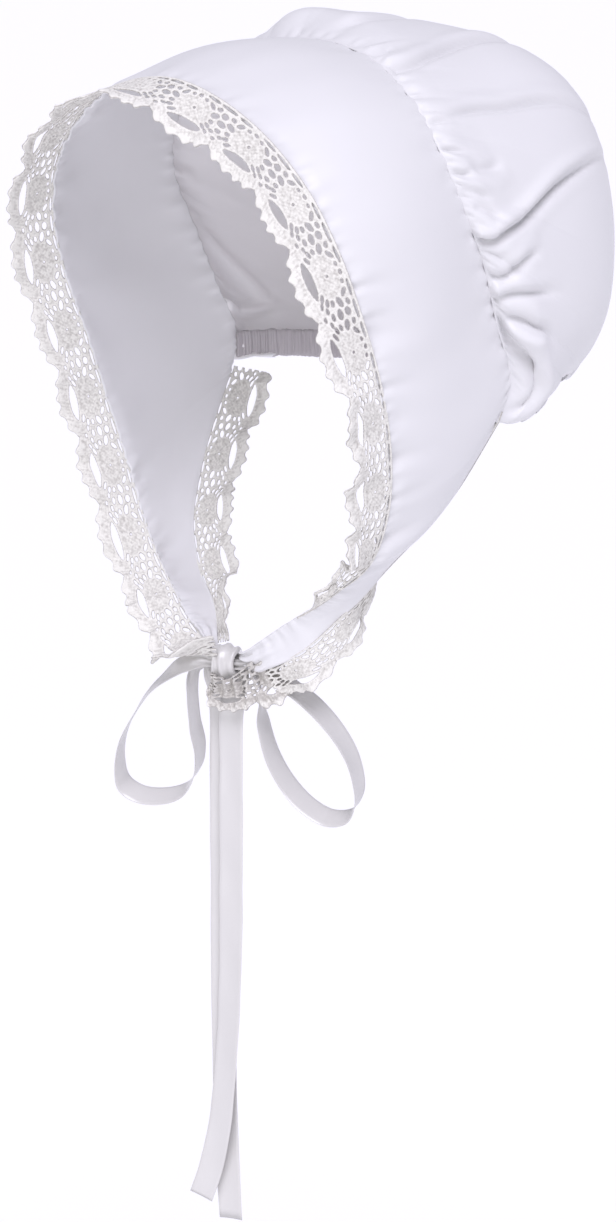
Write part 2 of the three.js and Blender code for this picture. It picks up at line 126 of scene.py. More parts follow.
world = bpy.data.worlds.new("softRoom")
world.use_nodes = True
sky = world.node_tree.nodes["Background"].inputs
sky["Color"].default_value = linear(roomSettings["sky"])
sky["Strength"].default_value = roomSettings["skyStrength"]
bpy.context.scene.world = world
bpy.context.scene.view_settings.view_transform = "Standard"
bpy.context.scene.view_settings.look = "None"


def newMesh(name, points, faces, material=None):
    mesh = bpy.data.meshes.new(name)
    mesh.from_pydata(np.asarray(points, float).tolist(), [], [tuple(int(k) for k in f) for f in faces])
    mesh.polygons.foreach_set("use_smooth", [True] * len(mesh.polygons))
    if material:
        mesh.materials.append(material)
    return addObject(name, mesh)


def rework(mesh, step):  # one editing step on a mesh
    work = bmesh.new()
    work.from_mesh(mesh)
    step(work)
    work.to_mesh(mesh)
    work.free()


def fixFaces(piece):  # all faces outwards
    rework(piece.data, lambda work: bmesh.ops.recalc_face_normals(work, faces=work.faces))


def flatMap(piece, flat, name="flat"):  # the flat cloth's own millimetres, as a UV map
    layer = piece.data.uv_layers.new(name=name)
    corners = np.empty(len(piece.data.loops), int)
    piece.data.loops.foreach_get("vertex_index", corners)
    layer.data.foreach_set("uv", np.asarray(flat, float)[corners].ravel())


def closedPiece(name, points, faces, material, flat):  # points and flat in millimetres
    piece = newMesh(name, points.reshape(-1, 3) * mm, faces, material)
    fixFaces(piece)
    flatMap(piece, flat.reshape(-1, 2))
    return piece


def newMaterial(name, finish):  # finish holds the shader's own values
    material = bpy.data.materials.new(name)
    material.use_nodes = True
    shader = material.node_tree.nodes["Principled BSDF"]
    for socket, value in finish.items():
        shader.inputs[socket].default_value = value
    return material, material.node_tree, shader


half, z = roomSettings["floorSize"] / 2, roomSettings["floorZ"]
corners = [(-half, -half, z), (half, -half, z), (half, half, z), (-half, half, z)]
paint = {"Base Color": linear(roomSettings["floor"]), "Roughness": 0.9, "Specular IOR Level": 0.1}
floor = newMesh("floor", corners, [(0, 1, 2, 3)], newMaterial("pale matt paint", paint)[0])

# Bleached cotton broadcloth: nearly matt, with a faint sheen where light grazes it.
clothSettings = {
    "colour": "#dfdede",  # the cool cast outside comes from the light
    "shade": "#d9d8d9",
    "thread": 0.5,  # mm; a real broadcloth thread is about 0.25 mm apart, too fine to show
    "slub": 900.0,  # thick spots in the threads, per metre
    "patch": 14.0,  # slow changes of tone, per metre
    "bump": {"Strength": 0.12, "Distance": 0.0001},
    "finish": {"Roughness": 0.52, "Sheen Weight": 0.15, "Sheen Roughness": 0.4, "Specular IOR Level": 0.5},
}
# Soft plied cotton: matt, each stitch a small knot, with painted shade darkening it where a thread lies lower
# than the others.
laceSettings = {
    "colour": "#e4e2db",
    "shade": "#b2aea8",
    "stitch": 1.5,  # mm, as the twist; a real ply is about 0.3 mm, drawn coarser so that it shows
    "twist": 0.7,
    "sink": -0.6,  # how much painted shade darkens the gaps between the stitches
    "tones": {"From Min": -0.6, "From Max": 0.12},
    "bump": {"Strength": 0.4, "Distance": 0.0007, "invert": True},
    "finish": {"Roughness": 0.85, "Sheen Weight": 0.1, "Specular IOR Level": 0.25},
}
# Polyester satin: smooth and glossy, with fine ribs.
satinSettings = {
    "rib": 0.35,  # mm
    "bump": {"Strength": 0.06, "Distance": 0.00005},
    "finish": {
        "Base Color": linear("#cbc9c6"),
        "Roughness": 0.3,
        "Specular IOR Level": 0.8,
        "Sheen Weight": 0.1,
    },
}


# One set of threads, a fine wave on the piece's own UV map in millimetres.
def threadSet(tree, spacing, turn):
    uv = addNode(tree, "ShaderNodeUVMap", {"uv_map": "flat"})["UV"]
    spun = addNode(tree, "ShaderNodeMapping", {"Rotation": (0, 0, turn)}, {"Vector": uv})["Vector"]
    bands = {"wave_type": "BANDS", "bands_direction": "X", "Distortion": 0.25, "Detail": 1.0}
    bands["Scale"] = math.pi / 10 / spacing
    return addNode(tree, "ShaderNodeTexWave", bands, {"Vector": spun})["Fac"]


# Bumps the surface by a height; a tone, where there is one, runs from the shade to the colour.
def finishMaterial(tree, shader, look, height, tone=None):
    bump = addNode(tree, "ShaderNodeBump", look["bump"], {"Height": height})
    tree.links.new(bump["Normal"], shader.inputs["Normal"])
    if tone:
        ends = {"data_type": "RGBA", 6: linear(look["shade"]), 7: linear(look["colour"])}
        mixed = addNode(tree, "ShaderNodeMix", ends, {0: tone})[2]
        tree.links.new(mixed, shader.inputs["Base Color"])


def broadcloth(name, look):
    material, tree, shader = newMaterial(name, look["finish"])
    at = {"Vector": addNode(tree, "ShaderNodeTexCoord")["Object"]}
    warp, weft = (threadSet(tree, look["thread"], turn) for turn in (0, math.pi / 2))
    threads = addNode(tree, "ShaderNodeMath", {"operation": "ADD"}, {0: warp, 1: weft})[0]
    slub = addNode(tree, "ShaderNodeTexNoise", {"Scale": look["slub"], "Detail": 2.0}, at)["Fac"]
    patch = addNode(tree, "ShaderNodeTexNoise", {"Scale": look["patch"], "Detail": 3.0}, at)["Fac"]
    height = addNode(tree, "ShaderNodeMath", {"operation": "ADD"}, {0: threads, 1: slub})[0]
    finishMaterial(tree, shader, look, height, patch)
    return material


def clunyCotton(look):
    material, tree, shader = newMaterial("cluny cotton lace", look["finish"])
    at = {"Vector": addNode(tree, "ShaderNodeTexCoord")["Object"]}
    cells = {"feature": "SMOOTH_F1", "Scale": 1 / (look["stitch"] * mm), "Smoothness": 0.4}
    knots = addNode(tree, "ShaderNodeTexVoronoi", cells, at)["Distance"]
    twist = {"Scale": 1 / (look["twist"] * mm), "Detail": 2.0}
    fluff = addNode(tree, "ShaderNodeTexNoise", twist, at)["Fac"]
    sunk = addNode(tree, "ShaderNodeMath", {"operation": "ADD"}, {0: knots, 1: fluff})[0]
    # painted shade: the tone runs to the shade colour where a thread is low (raised near 0) and in the gaps
    # between the knots
    raised = addNode(tree, "ShaderNodeAttribute", {"attribute_name": "raised"})["Fac"]
    sink = {"operation": "MULTIPLY_ADD", 1: look["sink"]}
    lit = addNode(tree, "ShaderNodeMath", sink, {0: sunk, 2: raised})[0]
    tone = addNode(tree, "ShaderNodeMapRange", look["tones"], {"Value": lit})[0]
    finishMaterial(tree, shader, look, sunk, tone)
    return material


def satin(look):
    material, tree, shader = newMaterial("polyester satin ribbon", look["finish"])
    finishMaterial(tree, shader, look, threadSet(tree, look["rib"], 0))
    return material


# painted light: the crown's inner face is a lighter colour, standing in for light coming through the thin
# cloth
insidePaintedLight = {**clothSettings, "colour": "#f3f1f1", "shade": "#eceaea"}
# painted shade: the neck casing is a darker colour, standing in for the shade it lies in under the crown
casingPaintedShade = {**clothSettings, "colour": "#b4afb1", "shade": "#a29c9f"}
clothMaterial = broadcloth("cotton broadcloth", clothSettings)
crownInside = broadcloth("cotton broadcloth, inside with painted light", insidePaintedLight)
casingMaterial = broadcloth("cotton broadcloth, doubled", casingPaintedShade)
laceMaterial, satinMaterial = clunyCotton(laceSettings), satin(satinSettings)
print("materials made")

# The bonnet's curves, in millimetres. Front edge x, y, z and rear edge x, y, z of the brim, a row
# per section from the crown of the head down one side. The wearer's right side mirrors the left one
# as far as the flaps.
sectionColumns = ("frontX", "frontY", "frontZ", "rearX", "rearY", "rearZ")
brimSections = [
    (0, -99, -13, 0, 0, 1),
    (37, -100, -20, 44, -3, -7),
    (67, -96, -37, 76, -8, -25),
    (89, -91, -60, 94, -9, -46),
    (101, -84, -86, 102, -2, -71),
    (105.5, -73, -117, 103, 12, -99),
    (105, -60, -149, 100.5, 24.5, -129),
    (102, -50, -183, 98, 37, -158),
    (94.5, -44, -214, 96, 30, -179),
]
leftFlap = [
    (83, -44, -240, 88, 5, -215),
    (70, -51, -254, 74, -22, -246),
    (57, -54, -264, 63, -42, -269),
    (38, -57, -276, 46, -52, -288),
    (17, -60, -291, 22, -57, -302),
]
rightFlap = [
    (83, -44, -240, 86, 3, -216),
    (67, -48, -259, 70, -20, -249),
    (50, -53, -272, 50, -32, -270),
    (33, -58, -283, 28, -43, -283),
    (17, -61, -293, 15, -54, -295),
]
seamEnd = 8  # the section where the crown stops
last = len(brimSections) + len(leftFlap) - 1
brimSwell = 5
headMiddle = 110  # how far the middle of the head lies below its top


def rows(columns, table):
    return [dict(zip(columns, one)) for one in table]


def pick(columns, table, names):
    return np.array(table, float)[:, [columns.index(name) for name in names.split()]]


def curveThrough(points):  # a centripetal curve; t counts its points
    p = np.asarray(points, float)
    p = np.vstack([2 * p[0] - p[1], p, 2 * p[-1] - p[-2]])

    def at(t):
        t = np.clip(np.asarray(t, float), 0, len(p) - 3)
        k = np.minimum(t.astype(int), len(p) - 4)
        w = (t - k)[..., None]
        a, b, c, d = p[k], p[k + 1], p[k + 2], p[k + 3]
        gaps = [np.maximum(lengthOf(way), 1e-9)[..., None] ** 0.5 for way in (b - a, c - b, d - c)]
        t1 = ((b - a) / gaps[0] - (c - a) / (gaps[0] + gaps[1]) + (c - b) / gaps[1]) * gaps[1]
        t2 = ((c - b) / gaps[1] - (d - b) / (gaps[1] + gaps[2]) + (d - c) / gaps[2]) * gaps[1]
        return b + t1 * w + (-3 * b + 3 * c - 2 * t1 - t2) * w**2 + (2 * b - 2 * c + t1 + t2) * w**3

    return at


leftRows = np.array(brimSections + leftFlap, float)
rightRows = np.array(brimSections + rightFlap, float) * [-1, 1, 1, -1, 1, 1]
allRows = np.vstack([rightRows[:0:-1], leftRows])
frontCurve = curveThrough(pick(sectionColumns, allRows, "frontX frontY frontZ"))
rear = pick(sectionColumns, allRows, "rearX rearY rearZ")
rearRight = curveThrough(rear[: last - seamEnd + 1])
rearMiddle = curveThrough(rear[last - seamEnd : last + seamEnd + 1])
rearLeft = curveThrough(rear[last + seamEnd :])


def beyond(curve, s, step=0.05):  # past the last section an edge runs straight on
    s = np.asarray(s, float)
    inside = np.clip(s, -last, last)
    before = inside + np.where(inside < 0, step, -step)
    return curve(inside) + (curve(inside) - curve(before)) * (np.abs(s - inside) / step)[..., None]


def frontAt(s):
    return beyond(lambda at: frontCurve(at + last), s)


def rearInside(s):
    low, mid, high = rearRight(s + last), rearMiddle(s + seamEnd), rearLeft(s - seamEnd)
    s = s[..., None]
    return np.where(s < -seamEnd, low, np.where(s > seamEnd, high, mid))


def rearAt(s):
    return beyond(rearInside, s)


def outwards(point):  # away from the line that runs fore and aft through the middle of the head
    return unit((point + [0, 0, headMiddle]) * [1, 0, 1])


def brimAt(s, along):
    s, along = np.broadcast_arrays(np.asarray(s, float), np.asarray(along, float))
    a = along[..., None]
    point = frontAt(s) * (1 - a) + rearAt(s) * a
    fade = np.clip(1 - (np.abs(s) - seamEnd) / 3, 0, 1)
    return point + outwards(point) * (brimSwell * np.sin(np.pi * along) * fade)[..., None]


def ease(x, low, high):
    t = np.clip((x - low) / (high - low), 0, 1)
    return t * t * (3 - 2 * t)


def bell(x, middle, spread):
    return np.exp(-(((x - middle) / spread) ** 2))


def gridNormals(grid):
    return unit(np.cross(np.gradient(grid, axis=0), np.gradient(grid, axis=1)))


# Normals evened out over their neighbours, so that they shorten where the cloth turns tightly and
# a wall laid along them doesn't cross itself.
def softNormals(grid, outward, passes):
    normal = gridNormals(grid)
    normal *= np.sign((normal * outward).sum())
    for _ in range(passes):
        normal[1:-1] = (normal[:-2] + 2 * normal[1:-1] + normal[2:]) / 4
        normal[:, 1:-1] = (normal[:, :-2] + 2 * normal[:, 1:-1] + normal[:, 2:]) / 4
    return normal


# Distances along a grid's two ways, in millimetres, for a flat map of the cloth.
def gridFlat(grid):
    u = runningSum(lengthOf(np.diff(grid, axis=0)).mean(axis=1))
    across = lengthOf(np.diff(grid, axis=1))
    v = np.concatenate([np.zeros((len(grid), 1)), np.cumsum(across, axis=1)], axis=1)
    return np.stack([np.broadcast_to(u[:, None], v.shape), v], -1)


# Faces of a grid of n by m points, numbered from base; rings says which ways close on themselves.
def gridFaces(n, m, base=0, rings=(False, False), flip=False):
    i, j = np.arange(n if rings[0] else n - 1)[:, None], np.arange(m if rings[1] else m - 1)[None, :]
    after, beside = (i + 1) % n * m, (j + 1) % m
    corners = np.broadcast_arrays(i * m + j, i * m + beside, after + beside, after + j)
    faces = base + np.stack(corners, -1).reshape(-1, 4)
    return (faces if flip else faces[:, [0, 3, 2, 1]]).tolist()


flatSizes = {}  # each cloth's width, length and area as it lies flat, in millimetres


# A closed wall between an outer and an inner grid, with a round rim; the inner face keeps one row
# and column in every skip.
def wallPiece(name, outer, inner, material, skip=1, insideMaterial=None):
    n, m = outer.shape[:2]
    middle, half = (outer + inner) / 2, lengthOf(outer - inner)[..., None] / 2
    flat = gridFlat(middle)
    one, two = np.diff(middle, axis=0)[:, :-1], np.diff(middle, axis=1)[:-1]
    flatSizes[name] = (flat[..., 1].max(), flat[-1, 0, 0], lengthOf(np.cross(one, two)).sum())
    sides = ((0, 1), (m - 1, m - 2))
    rims = [middle[:, j] + unit(middle[:, j] - middle[:, k]) * half[:, j] for j, k in sides]
    coarse = inner[::skip, ::skip]
    n2, m2 = coarse.shape[:2]
    points = np.vstack([outer.reshape(-1, 3), *rims, coarse.reshape(-1, 3)])
    flats = np.vstack([flat.reshape(-1, 2), flat[:, 0], flat[:, -1], flat[::skip, ::skip].reshape(-1, 2)])
    innerBase = n * m + 2 * n
    edges = ((n * m, 0, 0), (n * m + n, m - 1, m2 - 1))  # a rim's base, its outer and inner column
    faces = gridFaces(n, m)
    insideFrom = len(faces)
    faces += gridFaces(n2, m2, innerBase, flip=True)
    insideTo = len(faces)
    for base, edge, innerEdge in edges:
        for k in range(n - 1):
            faces.append([k * m + edge, (k + 1) * m + edge, base + k + 1, base + k])
        for k in range(n2 - 1):
            along = [base + k * skip + step for step in range(skip + 1)]
            faces.append(along + [innerBase + (k + 1) * m2 + innerEdge, innerBase + k * m2 + innerEdge])
    for row, innerRow in ((0, 0), (n - 1, n2 - 1)):
        for k in range(m2 - 1):
            along = [row * m + k * skip + step for step in range(skip + 1)]
            faces.append(along + [innerBase + innerRow * m2 + k + 1, innerBase + innerRow * m2 + k])
        for base, edge, innerEdge in edges:
            faces.append([row * m + edge, base + row, innerBase + innerRow * m2 + innerEdge])
    piece = closedPiece(name, points, faces, material, flats)
    if insideMaterial:
        piece.data.materials.append(insideMaterial)
        for k in range(insideFrom, insideTo):
            piece.data.polygons[k].material_index = 1
    return piece


# The same strewn pleats each time: where they lie along a seam, and how big each one is.
def strewn(seed, count, low, high, jitter=0.35):
    draw = np.random.default_rng(seed)
    step = (high - low) / count
    places = low + step * (np.arange(count) + 0.5 + jitter * draw.uniform(-1, 1, count))
    return places, draw.uniform(0.5, 1.0, count), draw.uniform(0.0, 1.0, count)


def waves(x, y, seed, count, longest, shortest):  # a smooth random swell of about -1 to 1
    draw = np.random.default_rng(seed)
    total = np.zeros(np.broadcast(x, y).shape)
    for _ in range(count):
        length, way, phase = draw.uniform([shortest, 0, 0], [longest, math.tau, math.tau])
        total += np.sin(math.tau / length * (x * np.cos(way) + y * np.sin(way)) + phase)
    return total / math.sqrt(count) / 1.2


def spanOf(edges, place):  # which gap between the edges a place is in, and how far along it
    k = np.clip(np.searchsorted(edges, place) - 1, 0, len(edges) - 2)
    return k, (place - edges[k]) / (edges[k + 1] - edges[k])


# The brim. Its tips are drawn together into the knot.
tipSettings = {
    "run": 0.45,
    "left": (10, -58.6, -295.7),
    "right": (-8, -64, -294),
    "narrow": 4.5,
    "pleat": 1.1,
    "pleats": 2.2,  # how many lie across it
}
brimSettings = {
    "columns": 760,
    "rows": 38,
    "crowd": 0.11,  # how much the rows crowd towards both edges
    "thickness": 1.7,
    "frontPuckers": 156,
    "rearPuckers": 90,
    "puckerDepth": 1.6,
    "puckerWidth": (0.042, 0.045),  # in sections, the least and how much more there can be
    "puckerReach": (4, 15),  # in millimetres, the same way
    "swell": 1.5,
    "swellLengths": (150, 70),  # the longest and the shortest
    "ripple": 1.05,
    "rippleLengths": (60, 24),
    "rippleRun": 42,  # how far from the front edge they run
}
# Larger puckers beside the left lace: section, depth and reach in millimetres, width in sections.
puckerColumns = ("at", "deep", "reach", "wide")
largePuckers = [
    (4.55, 1.8, 20, 0.07),
    (5.02, 1.6, 13, 0.06),
    (5.28, 2.4, 26, 0.11),
    (6.05, 1.6, 16, 0.07),
    (7.1, 2.3, 22, 0.1),
    (7.75, 1.7, 18, 0.08),
    (8.5, 1.9, 20, 0.08),
    (9.2, 1.7, 18, 0.1),
]


def edgeRows(count, crowd):  # rows crowded towards both edges
    t = np.linspace(0, 1, count)
    return t - crowd * np.sin(math.tau * t)


def makeBrim(settings):
    tip = tipSettings
    s = np.linspace(-last - tip["run"], last + tip["run"], settings["columns"])[:, None]
    along = edgeRows(settings["rows"], settings["crowd"])[None, :]
    middle = brimAt(s, along)
    drawn = ease(np.abs(s), last, last + tip["run"])[..., None]
    ends = np.array([tip["right"], tip["left"]], float)[(s[:, 0] > 0).astype(int)][:, None]
    wayAcross = unit(rearAt(np.sign(s) * last) - frontAt(np.sign(s) * last))
    tips = ends + wayAcross * ((along - 0.5) * tip["narrow"])[..., None]
    middle = middle * (1 - drawn) + tips * drawn
    flat = gridFlat(middle)
    depth = flat[..., 1]
    back = depth[:, -1:] - depth
    dent = np.zeros_like(depth)
    (slim, wider), (short, longer) = settings["puckerWidth"], settings["puckerReach"]
    for places, edge, seed in ((settings["frontPuckers"], depth, 5), (settings["rearPuckers"], back, 9)):
        for place, size, other in zip(*strewn(seed, places, -last, last)):
            if edge is back and abs(place) > seamEnd:
                continue
            near = np.abs(s - place) < 0.6
            width = (slim + wider * other) * (1 + edge / 16)
            reach = short + longer * other**2 * size
            shape = bell(s, place, width) * bell(edge, 0, reach)
            dent += np.where(near, size * shape, 0) * settings["puckerDepth"]
    for row in rows(puckerColumns, largePuckers):
        shape = bell(s - row["at"], 0.004 * depth, row["wide"] * (1 + depth / 20))
        dent += row["deep"] * (shape * bell(depth, 0, row["reach"]))
    swell = settings["swell"] * waves(flat[..., 0], depth, 21, 7, *settings["swellLengths"])
    swell *= np.sin(np.pi * along) ** 0.5
    ripple = settings["ripple"] * waves(flat[..., 0], depth * 0.4, 23, 9, *settings["rippleLengths"])
    swell += ripple * np.exp(-depth / settings["rippleRun"]) * ease(depth, 0, 8)
    pleats = tip["pleat"] * ease(np.abs(s), last - 0.9, last + 0.2)
    swell += pleats * np.sin(math.tau * (tip["pleats"] * along + 0.1 * s))
    normal = -gridNormals(middle)
    top = settings["columns"] // 2
    normal *= np.sign((normal[top] * outwards(middle)[top]).sum())
    middle = middle + normal * (swell - dent)[..., None]
    thin = 0.75 + 0.25 * ease(np.minimum(depth, back), 0, 4)  # the wall thins at both edges
    half = settings["thickness"] / 2 * thin[..., None]
    return wallPiece("brim_cloth", middle + normal * half, middle - normal * half, clothMaterial)


brim = makeBrim(brimSettings)
print("brim made")

# The crown: a puff whose radius from its centre changes with the direction.
puff = {
    "centre": (0, 50, -105),
    "halfWidth": 112,
    "forward": 190,
    "backward": 99.5,
    "upward": 114,
    "downward": 88,
    "squareAround": 2.6,
    "squareAbove": 2.1,
    "squareBelow": 2.7,
    "rise": 0.09,
    "tuck": 0.12,
    "underBrim": -1.5,  # how far the crown's edge runs in under the brim's
    "casingReach": 0.97,
    "casingGap": 0.3,
    "casingLap": 1.1,  # how far its other edge runs down over the casing
    "lead": (2.4, 2.6),  # how strongly it is led round by the back, and how much more at the corners
    "cornerIn": 9,  # the left corner turns in under itself towards the casing
    "farCornerIn": 3,
    "cornerAcross": (0.68, 0.9),  # where that turn begins and is whole, across and along the cloth
    "cornerAlong": (0.45, 0.75),
    "cornerPull": (0.77, 0.02, -0.63),
}
lobes = [  # direction, height, spread
    ((0.76, 0.02, -0.65), 16, 0.34),
    ((0.79, 0.25, -0.56), -8, 0.28),
    ((-0.74, 0.08, -0.67), -1, 0.32),
    ((-0.22, -0.3, 0.93), 9, 0.3),
    ((0.52, 0.5, 0.68), 7, 0.36),
]
casingLine = {"height": 14, "thickness": 3.6, "z": -163, "endX": 92.5, "endY": 39, "midY": 83}


def puffRadius(way):
    x, y, z = np.moveaxis(way, -1, 0)
    depth = np.where(y < 0, puff["forward"], puff["backward"])
    height = np.where(z > 0, puff["upward"], puff["downward"])
    power = puff["squareAround"]
    around = (np.abs(x / puff["halfWidth"]) ** power + np.abs(y / depth) ** power) ** (1 / power)
    square = np.where(z > 0, puff["squareAbove"], puff["squareBelow"])
    radius = (around**square + np.abs(z / height) ** square) ** (-1 / square)
    for direction, high, spread in lobes:
        angle = np.arccos(np.clip((way * unit(direction)).sum(-1), -1, 1))
        radius = radius + high * bell(angle, 0, spread)
    return radius


def casingAt(u):
    angle = np.asarray(u, float) * np.pi / 2
    y = casingLine["endY"] + (casingLine["midY"] - casingLine["endY"]) * np.cos(angle)
    return np.stack([casingLine["endX"] * np.sin(angle), y, np.full_like(angle, casingLine["z"])], -1)


def casingOutward(u):
    ahead = casingAt(u + 0.01) - casingAt(u - 0.01)
    return unit(np.stack([-ahead[..., 1], ahead[..., 0], 0 * ahead[..., 0]], -1))


def crownAt(u, v):
    u, v = np.broadcast_arrays(np.asarray(u, float), np.asarray(v, float))
    s, centre, reach = u * seamEnd, np.array(puff["centre"], float), u * puff["casingReach"]
    start = rearAt(s) + unit(rearAt(s) - brimAt(s, 0.8)) * puff["underBrim"]
    end = casingAt(reach) + casingOutward(reach) * (casingLine["thickness"] / 2 + puff["casingGap"])
    end[..., 2] += casingLine["height"] / 2 - puff["casingLap"]
    start, end = start - centre, end - centre
    pull = puff["cornerPull"]
    corner = np.stack([pull[0] * np.sign(u), 0 * u + pull[1], 0 * u + pull[2]], -1)
    blend = (np.abs(u) ** 1.5)[..., None]
    pull = unit(np.array([0, 1, 0]) * (1 - blend) + corner * blend)
    least, more = puff["lead"]
    v, strength = v[..., None], (least + more * u * u)[..., None]
    way = unit(unit(start) * (1 - v) ** 2 + pull * strength * v * (1 - v) + unit(end) * v**2)
    v = v[..., 0]
    edgeRadius = lengthOf(start) * (1 - v) + lengthOf(end) * v
    up = ease(v, 0, puff["rise"]) * (1 - ease(v, 1 - puff["tuck"], 1))
    under = np.where(u > 0, puff["cornerIn"], puff["farCornerIn"])
    under = under * ease(np.abs(u), *puff["cornerAcross"]) * ease(v, *puff["cornerAlong"])
    radius = edgeRadius * (1 - up) + (puffRadius(way) - under) * up
    return way * radius[..., None] + centre


crownSettings = {
    "leftEnd": 0.995,
    "rightEnd": -0.945,
    "columns": 481,
    "rows": 151,
    "thickness": 0.9,
    "casingGathers": 0.8,  # the height of those at the casing, as a part of those at the seam
    "foldDepth": 1.3,
    "crease": 2.3,
    "sink": 0.9,  # how far the cloth lies in between its two gathered edges
    "sinkFrom": (6, 20),  # how far from either edge that begins and is whole
    "room": 2.2,  # the corners turn so tightly that the inner face needs room towards the middle
}
# Gathers at the seam in three sizes: how many, their height, where they are highest and how far
# they run, in millimetres from the seam.
seamGathers = [
    {"count": 84, "height": 1.8, "peak": 2.6, "run": 6, "seed": 31},
    {"count": 40, "height": 2.2, "peak": 6, "run": 17, "seed": 32},
    {"count": 17, "height": 2.0, "peak": 24, "run": 42, "seed": 33},
]
# The crown's large folds, as lines over the cloth: across is 0 at the top of the head, 1 at the
# left corner and -1 at the right one; along is 0 at the seam and 1 at the neck casing. Deep and
# wide are in millimetres. Lip is how far the cloth stands up beside the fold, as a part of deep,
# on its upper side, or on its lower side where it is below 0.
foldColumns = ("deep", "wide", "lip", "line")
crownFolds = [
    (3.0, 8, 0.4, [(0.165, 0), (0.165, 0.05), (0.145, 0.1), (0.12, 0.15), (0.1, 0.21), (0.09, 0.27),
        (0.1, 0.32)]),
    (1.2, 3, 0.4, [(0.125, 0), (0.12, 0.03), (0.11, 0.055)]),
    (1.2, 3, 0.5, [(0.315, 0), (0.305, 0.02), (0.3, 0.045)]),
    (2.4, 7, 0.4, [(0.3, 0.03), (0.28, 0.06), (0.262, 0.1), (0.25, 0.14), (0.228, 0.19), (0.205, 0.26),
        (0.19, 0.31)]),
    (1.2, 3, -0.5, [(0.36, 0), (0.375, 0.02), (0.37, 0.045)]),
    (1.2, 3, 0.5, [(0.42, 0), (0.425, 0.02), (0.41, 0.04)]),
    (1.7, 8, -0.6, [(0.4, 0.03), (0.4, 0.055), (0.385, 0.08), (0.36, 0.1)]),
    (1.4, 3.5, 0.5, [(0.465, 0), (0.46, 0.03), (0.465, 0.055)]),
    (1.5, 4.5, -0.5, [(0.5, 0.01), (0.495, 0.035), (0.51, 0.065)]),
    (3.6, 6, 0.75, [(0.575, 0), (0.56, 0.03), (0.525, 0.06), (0.48, 0.1), (0.43, 0.135), (0.38, 0.17),
        (0.325, 0.215), (0.265, 0.27), (0.22, 0.32)]),
    (2.6, 7, 0.5, [(0.655, 0), (0.635, 0.03), (0.59, 0.065), (0.545, 0.1), (0.53, 0.12)]),
    (2.7, 7, 0.5, [(0.7, 0), (0.665, 0.035), (0.64, 0.07), (0.615, 0.11), (0.59, 0.16)]),
    (3.0, 7, -0.8, [(0.725, 0.01), (0.71, 0.04), (0.7, 0.075), (0.69, 0.11), (0.7, 0.15)]),
    (4.4, 9, 0.35, [(0.75, 0), (0.77, 0.025), (0.79, 0.05), (0.82, 0.075), (0.86, 0.085), (0.9, 0.075),
        (0.94, 0.05), (0.975, 0.02)]),
    (2.0, 12, 0.1, [(0.765, 0.04), (0.795, 0.08), (0.83, 0.11), (0.87, 0.12)]),
    (1.4, 5, -0.4, [(-0.49, 0), (-0.485, 0.03), (-0.47, 0.07)]),
    (1.8, 9, -0.9, [(-0.59, 0.02), (-0.62, 0.06), (-0.645, 0.1), (-0.67, 0.16), (-0.685, 0.2),
        (-0.68, 0.24)]),
    (2.0, 7, 0.4, [(-0.17, 0), (-0.16, 0.06), (-0.15, 0.12), (-0.12, 0.19), (-0.09, 0.26)]),
    (2.2, 7, 0.5, [(-0.33, 0), (-0.32, 0.06), (-0.29, 0.13), (-0.26, 0.2), (-0.24, 0.28)]),
    (2.6, 6, 0.6, [(-0.8, 0), (-0.78, 0.05), (-0.76, 0.11), (-0.72, 0.18), (-0.66, 0.26)]),
    (2.4, 6, 0.5, [(-0.9, 0), (-0.89, 0.05), (-0.86, 0.1), (-0.83, 0.16)]),
    (2.0, 9, 0.4, [(0.02, 0.02), (0.03, 0.09), (0.01, 0.17), (-0.02, 0.25)]),
    (2.6, 9, 0.5, [(0.12, 0.62), (0.16, 0.75), (0.2, 0.88), (0.22, 1)]),
    (2.8, 9, -0.5, [(-0.2, 0.56), (-0.18, 0.7), (-0.15, 0.86), (-0.14, 1)]),
    (2.4, 9, 0.5, [(0.5, 0.6), (0.52, 0.74), (0.5, 0.88), (0.48, 1)]),
    (2.4, 9, -0.5, [(-0.55, 0.6), (-0.56, 0.74), (-0.53, 0.88), (-0.5, 1)]),
]


# How far the folds move the cloth in or out at each place, in millimetres.
def foldHeight(middle, normal, depth, folds, settings):
    total = np.zeros(middle.shape[:2])
    for row in rows(foldColumns, folds):
        line = np.array(row["line"], float)
        at = np.linspace(0, 1, 120)
        soft = curveThrough(np.column_stack([line, 0 * line[:, 0]]))(at * (len(line) - 1))
        path = crownAt(soft[:, 0], soft[:, 1])
        ahead = unit(np.gradient(path, axis=0))
        room = 3 * row["wide"]
        near = np.all((middle > path.min(0) - room) & (middle < path.max(0) + room), -1)
        spots, up = middle[near], normal[near]
        gap = ((spots[:, None] - path[None]) ** 2).sum(-1)
        k = gap.argmin(1)
        side = unit(np.cross(up, ahead[k])) * np.sign(soft[k, 0] + 1e-9)[:, None]
        d = ((spots - path[k]) * side).sum(-1) / row["wide"]
        far = np.sqrt(gap[np.arange(len(k)), k]) / row["wide"]
        upper, lower = max(row["lip"], 0), max(-row["lip"], 0)
        shape = -bell(d, 0, max(0.34, settings["crease"] / row["wide"]))
        shape += (upper + 0.2 * lower) * bell(d, 0.85, 0.6) + (lower + 0.2 * upper) * bell(d, -0.85, 0.6)
        fade = 1 - ease(at[k], 0.6, 1)
        if line[0, 1] > 0.005:
            fade = fade * ease(at[k], 0, 0.3)
        if line[-1, 1] > 0.99:
            fade = ease(at[k], 0, 0.4)
        total[near] += settings["foldDepth"] * row["deep"] * shape * fade * (1 - ease(far, 2.4, 3))
    return total * ease(depth, 0, 5) * ease(depth[:, -1:] - depth, 0, 6)


